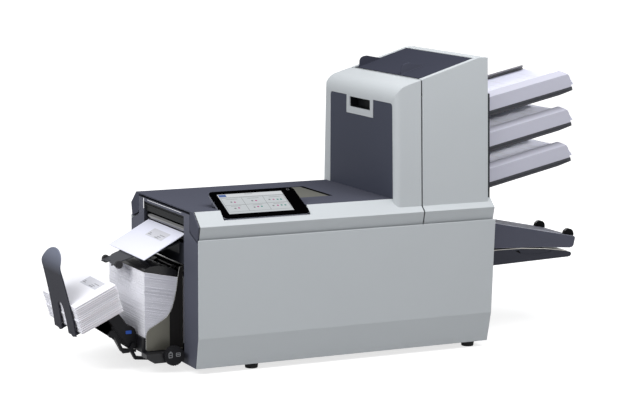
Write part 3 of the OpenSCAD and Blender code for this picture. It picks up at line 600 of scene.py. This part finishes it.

# Guide shade. A thin black strip on both hopper guides on the part next to the machine, its free
# edge cut along the curve of the guide: painted shade where the end frame shades the guides.
curve = [(-8.2, 235), (-12.2, 210), (-16.2, 182), (-21.2, 160.6), (-25.2, 147), (-31.2, 134)]
shade_outline = np.array([(-1, 235), *curve, (-33, 131.5), (-33, 50), (-1, 50)])
painted_shade_black = moulding("guide_felt", (0.016, 0.015, 0.015), 0.85, 1500.0, 0.5, 0.2, 0.1)
for body, depths in (("hopper_front_guide", (91.55, 91.97)), ("hopper_rear_guide", (328.03, 328.45))):
    strip = np.stack([np.insert(shade_outline, 1, depth, axis=1) for depth in depths])
    closed_solids(body + "_felt", row(strip[None]), painted_shade_black, body)

# Envelope weight. A black moulded shoe, hinged on the end frame, whose curved back presses the pile
# down on the feed roller.
weight_plastic = moulding("weight_plastic", (0.005, 0.005, 0.006), 0.18, 800.0, 0.1, 0.15, 0.35)
soften("envelope_weight", 0.0025, weight_plastic)

# Setting knob. A black moulded dial with a fluted rim, pushed on a steel shaft in the hopper's front
# arm, with two pale outline pictures of an envelope printed on its face.
knob_plastic = moulding("knob_plastic", (0.009, 0.009, 0.011), 0.38, 1200.0, 0.25, 0.1, 0.12)
soften("setting_knob", 0.0007, knob_plastic)


def printed_marks(name, corners, tints, finish, body="machine"):
    """Flat printed marks: corners[mark, 4] are quads in row metres, and each has its own colour in the
    attribute tint."""
    corners = np.asarray(corners, float)
    mesh = bpy.data.meshes.new(name)
    faces = np.arange(len(corners) * 4).reshape(-1, 4)
    mesh.from_pydata(corners.reshape(-1, 3).tolist(), [], faces.tolist())
    colours = np.column_stack((np.asarray(tints, float), np.ones(len(corners))))
    attribute = mesh.attributes.new("tint", "FLOAT_COLOR", "CORNER")
    attribute.data.foreach_set("color", np.repeat(colours, 4, axis=0).ravel())
    mesh.materials.append(finish)
    piece = link_object(name, mesh)
    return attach(piece, body)


printed_ink = bpy.data.materials.new("printed_ink")
printed_ink.use_nodes = True
tree = printed_ink.node_tree
ink = add_node(tree, "ShaderNodeAttribute", attribute_name="tint")
mist = add_node(tree, "ShaderNodeTexNoise", [], Scale=1800.0, Detail=2.0)
tree.links.new(add_node(tree, "ShaderNodeTexCoord").outputs["Object"], mist.inputs["Vector"])
screened = add_node(tree, "ShaderNodeMath", [(0, mist.outputs["Fac"])], operation="MULTIPLY_ADD")
screened.inputs[1].default_value = 0.3
screened.inputs[2].default_value = 0.85
laid = add_node(
    tree,
    "ShaderNodeVectorMath",
    [(0, ink.outputs["Color"]), ("Scale", screened.outputs[0])],
    operation="SCALE",
)
tree.links.new(laid.outputs[0], tree.nodes["Principled BSDF"].inputs["Base Color"])
tree.nodes["Principled BSDF"].inputs["Roughness"].default_value = 0.6
tree.nodes["Principled BSDF"].inputs["Specular IOR Level"].default_value = 0.2


def frame_strips(low, high, line):
    """Four rectangles (left, right, bottom, top, as low and high corners) that outline a rectangle."""
    (a0, b0), (a1, b1) = low, high
    lows = [(a0, b0), (a1 - line, b0), (a0, b0), (a0, b1 - line)]
    highs = [(a0 + line, b1), (a1, b1), (a1, b0 + line), (a1, b1)]
    return np.stack((np.array(lows, float), np.array(highs, float)), 1)


def quads(boxes):
    """Corners of rectangles given as [low, high] pairs, counterclockwise."""
    low, high = boxes[:, 0], boxes[:, 1]
    return np.stack(
        (low, np.column_stack((high[:, 0], low[:, 1])), high, np.column_stack((low[:, 0], high[:, 1]))), 1
    )


knob_centre = (-36.0, 40.0)
knob_face = 55.94
icons = np.concatenate(
    (
        frame_strips((-14.0, -4.0), (-5.0, 8.0), 1.1),
        frame_strips((4.0, -2.0), (14.5, 6.5), 1.1),
        np.array([[(-11.5, 8.8), (-7.5, 10.2)], [(6.0, 2.0), (12.5, 2.9)], [(-12.0, 1.5), (-7.0, 2.4)]]),
    )
)
flat = quads(icons) + knob_centre
face = np.stack((flat[..., 0], np.full(flat.shape[:2], knob_face), flat[..., 1]), -1)
knob_print = [(0.46, 0.47, 0.49)] * len(icons)
printed_marks("knob_pictures", row(face), knob_print, printed_ink, "setting_knob")

# Catch bracket, paddle and release lever. A black steel bracket clamped to the hopper holds two sliding
# arms with a tall moulded paddle at their end, painted paler at its top as a painted highlight, and let
# go by a flat lever with a round grip. A blue tag marks the clamp.
bracket_paint = moulding("bracket_paint", (0.009, 0.009, 0.011), 0.36, 700.0, 0.2, 0.15, 0.15)
soften("catch_bracket", 0.0008, bracket_paint)
paddle_plastic = moulding("paddle_plastic", (0.040, 0.041, 0.053), 0.45, 900.0, 0.25, 0.06, 0.02)
tree = paddle_plastic.node_tree
spot = add_node(tree, "ShaderNodeSeparateXYZ", [(0, add_node(tree, "ShaderNodeTexCoord").outputs["Object"])])
# Painted highlight: the paddle's colour turns paler over its top 55 mm, where its curved top faces the
# light.
painted_top_light = add_node(tree, "ShaderNodeMapRange", [("Value", spot.outputs["Z"])])
painted_top_light.inputs["From Min"].default_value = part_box("catch_paddle")[1][2] - 0.055
painted_top_light.inputs["From Max"].default_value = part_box("catch_paddle")[1][2] - 0.008
tone = add_node(tree, "ShaderNodeMix", [("Factor", painted_top_light.outputs["Result"])], data_type="RGBA")
tone.inputs[6].default_value = (0.037, 0.038, 0.049, 1)
tone.inputs[7].default_value = (0.190, 0.207, 0.268, 1)
grain = next(node for node in tree.nodes if node.type == "GROUP")
tree.links.new(tone.outputs[2], grain.inputs["Color"])
soften("catch_paddle", 0.0009, paddle_plastic)
soften("release_lever", 0.0004, bracket_paint)
tag_blue = moulding("clamp_tag_blue", (0.012, 0.085, 0.46), 0.35, 900.0, 0.1, 0.1, 0.4)
tag = rounded_outline(14.0, 7.5, 1.5, 4) + [-123.0, 82.3]
tag = np.stack([np.insert(tag, 1, depth, axis=1) for depth in (134.3, 135.05)])
closed_solids("clamp_tag", row(tag[None]), tag_blue)


# Finished envelopes. Filled and sealed envelopes leaning on the paddle, fat in the middle and thin at
# their ends, and one more on its way out of the exit. Each has a grey film window with grey rules.
def tilted(along, across, above, origin, degrees):
    """Row frame points from distances along, across and above a plane that rises that many degrees
    to the right from an origin (x, z)."""
    c, s = math.cos(math.radians(degrees)), math.sin(math.radians(degrees))
    along, across, above = np.broadcast_arrays(along, across, above)
    return row(np.stack((origin[0] + along * c - above * s, across, origin[1] + along * s + above * c), -1))


catch_origin, catch_rise = (-146.0, 140.5), 25.0
done_count = 15
done_height = 65.6
done_step = done_height / done_count
stations = np.linspace(0, 1, 9)[:, None]
fat = 0.5 + 0.5 * (1 - np.abs(2 * stations - 1) ** 4)
outline = rounded_outline(108.0, done_step, 0.44 * done_step, 3)
lay = knock.normal(0, 0.7, (done_count, 2, 1, 1)).clip(-1.6, 1.6)
level = (0.3 + done_step * np.arange(done_count))[:, None, None]
above = level + 0.5 * done_step + (outline[:, 1] - 0.5 * done_step) * 0.97 * fat
along = -102.5 + 0.165 * level + outline[:, 0] + lay[:, 0]
across = envelope_front + envelope_width * stations + lay[:, 1]
done_paper = paper("finished_envelope_paper", (0.94, 0.94, 1.0), (-0.4226, 0.0, 0.9063), 420.0, 0.25)
done_ends = paper("finished_envelope_ends", (0.97, 0.93, 0.97), (-0.4226, 0.0, 0.9063), 330.0, 0.5)
done_rings = tilted(along, across, above, catch_origin, catch_rise)
done_pile = closed_solids(
    "finished_envelope_pile", done_rings, done_paper, end_finish=done_ends
)
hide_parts("finished_envelopes")

exit_origin, exit_rise = (8.0, 309.6), 28.0
outline = rounded_outline(envelope_depth, 3.0, 1.2, 3) - [envelope_depth, 1.5]
fat = 0.45 + 0.55 * (1 - np.abs(2 * stations - 1) ** 4)
across = envelope_front + envelope_width * stations
leaving = tilted(outline[:, 0], across, outline[:, 1] * fat, exit_origin, exit_rise)
leaving_paper = paper("leaving_envelope_paper", (0.82, 0.83, 0.95), (-0.4695, 0.0, 0.8829), 420.0, 0.25)
closed_solids("leaving_envelope", leaving[None], leaving_paper)


def window_marks(low, high, origin, degrees, above):
    """A film window and the rules that show through it, as quads just above an envelope's top face."""
    (a0, y0), (a1, y1) = low, high
    boxes = np.array(
        [
            [(a0, y0), (a1, y1)],
            [(a0 + 6.0, y1 - 24.0), (a0 + 8.5, y1 - 5.0)],
            [(a0 + 11.0, y1 - 17.0), (a0 + 13.0, y1 - 5.0)],
            [(a0 + 3.0, y0 + 26.0), (a0 + 5.5, y0 + 50.0)],
            [(a0 + 8.0, y0 + 22.0), (a0 + 10.0, y0 + 44.0)],
            [(a0 + 14.0, y0 + 10.0), (a0 + 16.0, y0 + 40.0)],
        ]
    )
    lift = above + 0.05 * (np.arange(len(boxes)) > 0)
    flat = quads(boxes)
    return tilted(flat[..., 0], flat[..., 1], lift[:, None], origin, degrees)


marks = np.concatenate(
    (
        window_marks((-47.0, 140.0), (-19.0, 241.0), exit_origin, exit_rise, 1.58),
        window_marks((-24.0, 135.0), (4.0, 238.0), catch_origin, catch_rise, 0.3 + done_height + 0.02),
    )
)
film, rule = (0.66, 0.665, 0.72), (0.30, 0.30, 0.33)
printed_marks("envelope_windows", marks, ([film] + [rule] * 5) * 2, printed_ink)

# Exit. A dark header over two rollers, the upper one bright steel, and a moulded slide with two idler
# wheels that guides each envelope down. Bright folded lips edge the header and the sill.
exit_plastic = moulding("exit_plastic", (0.009, 0.010, 0.011), 0.42, 900.0, 0.2, 0.08, 0.06)
soften("exit_header", 0.0005, exit_plastic)
slide_plastic = moulding("slide_plastic", (0.046, 0.048, 0.056), 0.45, 900.0, 0.2, 0.06, 0.12)
soften("exit_slide", 0.0008, slide_plastic)
soften("exit_idler_wheels", 0.0012, roller_rubber)
exit_steel = brushed("exit_roller_steel", (0.12, 0.12, 0.125), (700.0, 8.0, 700.0), 0.10, 0.2, 1.0)
soften("exit_roller_upper", 0.0005, exit_steel)
soften("exit_roller_lower", 0.0005, roller_rubber)


def folded_lips(name, boxes, finish):
    """Thin strips with rounded edges: each box (low and high corner in millimetres) is an outline in x
    and z carried along y."""
    boxes = np.asarray(boxes, float)
    unit = rounded_outline(1.0, 1.0, 0.25, 2)
    x = boxes[:, 0, 0, None] + (boxes[:, 1, 0] - boxes[:, 0, 0])[:, None] * unit[:, 0]
    z = boxes[:, 0, 2, None] + (boxes[:, 1, 2] - boxes[:, 0, 2])[:, None] * unit[:, 1]
    rings = [np.stack((x, np.repeat(boxes[:, k, 1, None], len(unit), 1), z), -1) for k in (0, 1)]
    return closed_solids(name, row(np.stack(rings, 1)), finish)


bright_lip = brushed("bright_lip", (0.95, 0.95, 0.96), (300.0, 6.0, 300.0), 0.15, 0.1, 1.0)
lips = [
    [(-0.5, 100.0, 357.2), (0.3, 312.0, 358.2)],
    [(2.6, 90.0, 236.0), (4.1, 330.0, 239.2)],
    [(-0.7, 333.5, 335.0), (0.3, 336.5, 359.5)],
]
folded_lips("exit_lips", lips, bright_lip)


# Tower. A tall light grey moulded cover leaning slightly back, with a dark sloping lid panel that has
# two fin shaped finger grips whose front faces are painted lighter as painted light, a black strip of
# painted shade for the gap left of the lid and a dark border there, and a dark panel at the right where
# the trays enter.
def coat(node, finish):
    """Paints a CAD node as it is, with the normals of its exact surfaces."""
    mesh = frame["nodes"][node].data
    mesh.materials.clear()
    mesh.materials.append(finish)
    return frame["nodes"][node]


coat("tower_cover", powder_coat)
lid_plastic = moulding("lid_plastic", (0.050, 0.053, 0.074), 0.50, 1000.0, 0.25, 0.06, 0.0)
# Painted light: the fins' front faces get a lighter copy of the lid moulding, as bright as the lit panel.
fin_plastic = moulding("fin_plastic", (0.086, 0.090, 0.122), 0.50, 1000.0, 0.25, 0.06, 0.0)
lid = soften("tower_top_panel", 0.001, lid_plastic)
lid.data.materials.append(fin_plastic)
for face in lid.data.polygons:
    if face.normal.y < -0.6 and face.center.y < 0:
        face.material_index = 1
lid_end = (np.array(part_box("tower_cover"))[0, 0] - table_corner[0]) * 1000.0
roof_top, roof_rise = (722.0, 690.0), 17.0
roof_length = (roof_top[0] - lid_end) / math.cos(math.radians(roof_rise))
# The first strip is painted shade: black laid on the roof where the gap left of the lid lies in shade; the
# second is the lid's dark border.
seam_black = moulding("seam_black", (0.004, 0.004, 0.005), 0.8, 900.0, 0.1, 0.1, 0.0)
for name, low, high, finish in (("lid_gap", 0.7, 3.0, seam_black), ("lid_border", 3.05, 7.3, lid_plastic)):
    corners = np.array([[low, 0.02], [high, 0.02], [high, 0.28], [low, 0.28]])
    along, above = corners.T - [[roof_length], [0.0]]
    ends = [tilted(along, across, above, roof_top, roof_rise) for across in (43.0, 377.0)]
    closed_solids(name, np.stack(ends)[None], finish)
feeder_plastic = moulding("feeder_plastic", (0.034, 0.035, 0.042), 0.48, 900.0, 0.2, 0.06, 0.08)
soften("feeder_panel", 0.0008, feeder_plastic)

# Document trays and side guides. Dark moulded trays that hook into the tower, each with a pair of pale
# grey side guides whose tops lean in over the paper; the rear guides are painted darker as painted shade.
tray_plastic = moulding("tray_plastic", (0.085, 0.087, 0.098), 0.48, 900.0, 0.25, 0.06, 0.06)
guide_plastic = moulding("guide_plastic", (0.62, 0.62, 0.72), 0.40, 700.0, 0.12, 0.03, 0.15)
# A darker copy of the guide plastic: painted shade for the undersides of the rear guides' lips.
rear_guide_shade = moulding("rear_guide_plastic", (0.34, 0.335, 0.335), 0.40, 700.0, 0.12, 0.03, 0.15)
for number in "123":
    soften("document_tray_" + number, 0.0008, tray_plastic)
    soften("front_guide_" + number, 0.0008, guide_plastic)
    soften("rear_guide_" + number, 0.0008, rear_guide_shade)

# Paper. Reams of A4 between the guides, fanned by hand so that the bundles lie a little apart, with
# grey rules for the print on each top sheet.
tray_start, tray_rise = 746.0, 12.3
tray_heights = (542.8, 455.8, 368.8)
bundle_count = 14
ream_foot, ream_height = 3.0, 24.0
bundle_step = ream_height / bundle_count
outline = rounded_outline(296.0, 0.97 * bundle_step, 0.3 * bundle_step, 2)
reams = []
for tray_height in tray_heights:
    fan = knock.normal(0, 0.35, (bundle_count, 2, 1, 1)).clip(-0.9, 0.9)
    level = (ream_foot + bundle_step * np.arange(bundle_count))[:, None, None]
    drawn_in = 1.0 - 0.036 * np.linspace(0, 1, bundle_count)[:, None, None]
    along = 1.0 + outline[:, 0] * drawn_in + fan[:, 0] + np.zeros((bundle_count, 2, 1))
    across = np.array([[106.0], [314.0]]) + fan[:, 1]
    reams.append(tilted(along, across, level + outline[:, 1], (tray_start, tray_height), tray_rise))
ream_paper = paper("ream_paper", (0.74, 0.75, 0.88), (-0.213, 0.0, 0.977), 2500.0, 0.25)
ream_pile = closed_solids("paper_reams", np.concatenate(reams), ream_paper)
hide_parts("paper_stacks")
rules = np.array([[(30.0 + 26.0 * k, 118.0), (31.4 + 26.0 * k, 150.0 + 40.0 * (k % 3))] for k in range(9)])
rules = np.concatenate((rules, rules + [9.0, 55.0]))
along, across = np.moveaxis(quads(rules), -1, 0)
rule_height = ream_foot + ream_height + 0.08
rules = np.concatenate(
    [tilted(along, across, rule_height, (tray_start, height), tray_rise) for height in tray_heights]
)
rule_print = [(0.60, 0.60, 0.64)] * len(rules)
printed_marks("sheet_rules", rules, rule_print, printed_ink)

# Insert tray, stops and flap. A dark moulded shelf for single inserts with two sliding black stops, and
# below it a hinged flap that turns folded sheets towards the envelopes. A thin steel plate lies on the
# flap, bare at its end and along its front edge, with a black strip of painted shade between for the gap
# under the shelf, over a black inner rib. The shelf's rounded edges are a painted highlight.
shelf_plastic = moulding("shelf_plastic", (0.098, 0.102, 0.136), 0.46, 1000.0, 0.25, 0.06, 0.12)
# A lighter copy of the shelf moulding on the rounded edges: a painted highlight along them.
shelf_rim = moulding("shelf_rim", (0.50, 0.52, 0.61), 0.40, 1000.0, 0.2, 0.06, 0.3)
soften("insert_tray", 0.0014, shelf_plastic, shelf_rim)
stop_plastic = moulding("stop_plastic", (0.006, 0.006, 0.007), 0.40, 900.0, 0.2, 0.1, 0.05)
soften("insert_stops", 0.0012, stop_plastic)
flap_plastic = moulding("flap_plastic", (0.046, 0.048, 0.062), 0.46, 1000.0, 0.25, 0.06, 0.1)
soften("divert_flap", 0.0012, flap_plastic)
flap_line = np.array([[767.5, 207.0], [911.0, 206.0], [981.0, 200.5], [1043.0, 190.9]])
flap_plate = brushed("flap_plate", (0.60, 0.585, 0.55), (10.0, 500.0, 10.0), 0.38, 0.15, 0.8)
# The black strip between the bare parts is painted shade for the gap under the shelf.
plates = [
    ("flap_face_plate", flap_line[2:], (131.0, 289.0), flap_plate),
    ("flap_plate_edge", flap_line[:3], (131.0, 132.2), flap_plate),
    ("flap_black_lining", flap_line[:3], (132.25, 289.0), stop_plastic),
]
for name, edge, depths, finish in plates:
    plate = np.concatenate((edge + [0, 0.06], edge[::-1] + [0, 1.3]))
    plate = np.stack([np.insert(plate, 1, y, axis=1) for y in depths])
    closed_solids(name, row(plate[None]), finish, "divert_flap")
rib = np.array([[886.0, 191.0], [916.0, 191.0], [916.0, 202.6], [886.0, 202.6]])
rib = np.stack([np.insert(rib, 1, y, axis=1) for y in (133.2, 134.4)])
closed_solids("flap_inner_rib", row(rib[None]), stop_plastic, "divert_flap")

# Hood. A dark moulded deck with light grey side rails and the tower's door, all hinged at the left end
# and lifted by the handle cup in the door's dark inlay. A smoked window in a black rubber gasket lies
# flush in the deck, the gasket's wide right strip also a painted reflection of the tower, and black
# strips of painted shade lie where the deck's end caps are fitted.
deck_plastic = moulding("deck_plastic", (0.086, 0.090, 0.118), 0.50, 1000.0, 0.25, 0.06, 0.0)
soften("hood_deck", 0.001, deck_plastic)
soften("hood_side_rails", 0.001, powder_coat)
# Painted shade: thin black strips along the edges of the deck's end caps, where the gaps lie in shade.
seam = np.array([[34.0, 368.0], [0.0, 338.0], [8.0, 307.0]])
proud = np.array([[-0.60, 0.80], [-0.87, 0.28], [-0.97, -0.25]])
seam = np.stack((seam - 0.8 * proud, seam + 0.25 * proud), 1)
seam_corners = ((0, 3.05), (1, 3.05), (1, 4.8), (0, 4.8))
seam = np.stack([np.insert(seam[:, k], 0, x, axis=1) for k, x in seam_corners], 1)
seams = np.stack((seam, seam * [1, -1, 1] + [0, 420.0, 0]))
closed_solids("cap_seams", row(seams), black_moulding, "hood")
coat("tower_door", powder_coat)
inlay_plastic = moulding("inlay_plastic", (0.061, 0.067, 0.095), 0.50, 1000.0, 0.25, 0.06, 0.05)
cup_plastic = moulding("cup_plastic", (0.010, 0.011, 0.013), 0.45, 1000.0, 0.25, 0.06, 0.1)
inlay = soften("door_inlay", 0.0004, inlay_plastic)
inlay.data.materials.append(cup_plastic)
for face in inlay.data.polygons:
    if face.center.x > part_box("door_inlay")[0][0] + 0.003:
        face.material_index = 1
smoked = moulding("smoked_window", (0.150, 0.150, 0.135), 0.30, 300.0, 0.01, 0.05, 0.0)
soften("inspection_window", 0.0004, smoked)
# Left, front and rear strips are the rubber gasket; the wide right strip also stands for a painted
# reflection of the tower in the window.
lows = [(300.4, 138.4), (389.0, 138.4), (300.4, 138.4), (300.4, 300.6)]
highs = [(303.0, 305.6), (399.6, 305.6), (399.6, 141.0), (399.6, 305.6)]
gasket = quads(np.stack((np.array(lows), np.array(highs)), 1))
gasket_level = 367.5
gasket = np.concatenate((gasket, np.full((*gasket.shape[:2], 1), gasket_level)), -1)
gasket_and_painted_reflection = moulding("gasket_rubber", (0.004, 0.004, 0.004), 0.8, 900.0, 0.1, 0.1, 0.0)
gasket_tint = [(0.004, 0.004, 0.004)] * len(gasket)
printed_marks("window_gasket", row(gasket), gasket_tint, gasket_and_painted_reflection, "hood")

# Display. A tilted panel on the hood: a dark moulded back whose rounded edges and thin lips take a
# lighter copy of its moulding as a painted highlight, a black front glass with the touch screen behind
# it, and a power key with its symbol printed in grey.
housing_rim = moulding("housing_rim", (0.20, 0.21, 0.25), 0.45, 1000.0, 0.2, 0.06, 0.1)
soften("display_housing", 0.0012, dark_moulding, housing_rim)
black_glass = moulding("black_glass", (0.0008, 0.0008, 0.0010), 0.05, 40.0, 0.004, 0.1, 0.0)
soften("display_glass", 0.0005, black_glass)
soften("power_button", 0.0004, black_glass)

display_origin = np.array([68.0, 11.0, 338.0 + 30.0 * 11.0 / 34.0 + 6.0])
display_tilt = math.radians(25.0)


def on_display(flat, above):
    """Row frame points from places on the glass (across, up the tilt) and a height above its face."""
    c, s = math.cos(display_tilt), math.sin(display_tilt)
    flat, above = np.asarray(flat, float), np.broadcast_to(above, np.shape(flat)[:-1])
    place = np.stack((flat[..., 0], flat[..., 1] * c - above * s, flat[..., 1] * s + above * c), -1)
    return row(place + display_origin)


# The lips are painted highlight: lighter strips along the housing's lower front and left side.
lip = np.array([[-0.9, -6.0], [-0.05, -6.0], [-0.05, -3.2], [-0.9, -3.2]])
out, below = lip.T
front_lip = [on_display(np.column_stack((np.full(4, x), out)), below) for x in (9.0, 203.0)]
left_lip = [on_display(np.column_stack((out, np.full(4, up))), below) for up in (9.0, 96.0)]
closed_solids("display_lips", np.stack((front_lip, left_lip)), housing_rim, "hood")

screen_low, screen_high = np.array([17.4, 14.4]), np.array([177.4, 94.6])
tile_lines = frame_strips((20.0, 22.0), (175.5, 79.0), 0.9)
dividers = np.array(
    [
        [(70.4, 22.0), (71.4, 79.0)],
        [(123.4, 22.0), (124.4, 79.0)],
        [(20.0, 48.6), (175.5, 49.8)],
        [(17.4, 80.2), (177.4, 81.2)],
    ]
)
titles = np.array(
    [
        [(31.0, 72.0), (60.0, 73.4)],
        [(84.0, 72.0), (112.0, 73.4)],
        [(137.0, 72.0), (165.0, 73.4)],
        [(33.0, 44.0), (58.0, 45.4)],
        [(86.0, 44.0), (110.0, 45.4)],
        [(138.0, 44.0), (164.0, 45.4)],
        [(84.0, 90.0), (104.0, 91.8)],
    ]
)
header_key = np.array([[(19.5, 83.4), (37.5, 93.0)]])
header = np.array([[(17.4, 81.0), (177.4, 94.6)]])
pale, header_pale = (0.52, 0.55, 0.57), (0.60, 0.62, 0.64)
line_grey, title_grey, key_blue = (0.24, 0.25, 0.26), (0.26, 0.27, 0.28), (0.06, 0.12, 0.32)
boxes = np.concatenate(([[screen_low, screen_high]], header, tile_lines, dividers, titles, header_key))
tints = [pale, header_pale] + [line_grey] * 8 + [title_grey] * 7 + [key_blue]
height = np.array([0.06, 0.08] + [0.10] * (len(boxes) - 2))
lit = bpy.data.materials.new("lit_screen")
lit.use_nodes = True
tree = lit.node_tree
pixel = add_node(tree, "ShaderNodeAttribute", attribute_name="tint")
surface = tree.nodes["Principled BSDF"]
surface.inputs["Base Color"].default_value = (0.01, 0.01, 0.01, 1)
surface.inputs["Roughness"].default_value = 0.15
surface.inputs["Specular IOR Level"].default_value = 0.1
surface.inputs["Emission Strength"].default_value = 1.0
tree.links.new(pixel.outputs["Color"], surface.inputs["Emission Color"])
picture = on_display(quads(boxes), height[:, None])
printed_marks("screen_picture", picture, tints, lit, "hood")


def discs(centres, radius, sides):
    """Flat round dots: each is a regular polygon, its corners one radius from the centre."""
    turns = np.linspace(0, 2 * np.pi, sides, endpoint=False)
    ring = radius * np.stack((np.cos(turns), np.sin(turns)), -1)
    return np.asarray(centres, float)[:, None] + ring


dot_rows = [
    (40.3, 61.6, 0), (48.7, 60.6, 1), (92.2, 62.0, 0), (101.5, 61.5, 1),
    (135.3, 62.4, 0), (145.1, 61.6, 1), (155.0, 61.1, 2), (163.2, 60.6, 2),
    (40.2, 35.8, 0), (49.6, 36.6, 1), (87.4, 35.6, 0), (96.9, 37.0, 1), (106.0, 37.2, 2),
    (134.8, 36.7, 0), (145.8, 36.7, 1), (155.3, 37.0, 2), (164.5, 36.4, 2),
]
dot_tints = np.array([(0.20, 0.21, 0.22), (0.42, 0.10, 0.24), (0.06, 0.26, 0.22)])
dot_sides = 16
dots = on_display(discs(np.array(dot_rows)[:, :2], 2.6, dot_sides), 0.13)
mesh = bpy.data.meshes.new("screen_dots")
faces = np.arange(len(dots) * dot_sides).reshape(-1, dot_sides)
mesh.from_pydata(dots.reshape(-1, 3).tolist(), [], faces.tolist())
shades = np.column_stack((dot_tints[np.array(dot_rows)[:, 2].astype(int)], np.ones(len(dot_rows))))
attribute = mesh.attributes.new("tint", "FLOAT_COLOR", "CORNER")
attribute.data.foreach_set("color", np.repeat(shades, dot_sides, axis=0).ravel())
mesh.materials.append(lit)
screen_dots = link_object("screen_dots", mesh)
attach(screen_dots, "hood")

key_place = np.array([195.5, 98.0])
turns = np.radians(np.linspace(125, 415, 40))
ring = np.stack((np.cos(turns), np.sin(turns)), -1)
bar = key_place + np.array([[-0.35, 1.2], [0.35, 1.2], [0.35, 4.4], [-0.35, 4.4]])
arc = np.stack((key_place + 3.0 * ring, key_place + 3.7 * ring), 1)
arc = np.stack((arc[:-1, 0], arc[:-1, 1], arc[1:, 1], arc[1:, 0]), 1)
symbol = np.concatenate((arc, bar[None]))
key_print = [(0.13, 0.13, 0.14)] * len(symbol)
symbol = on_display(symbol, 0.66)
printed_marks("power_key_symbol", symbol, key_print, printed_ink, "power_button")
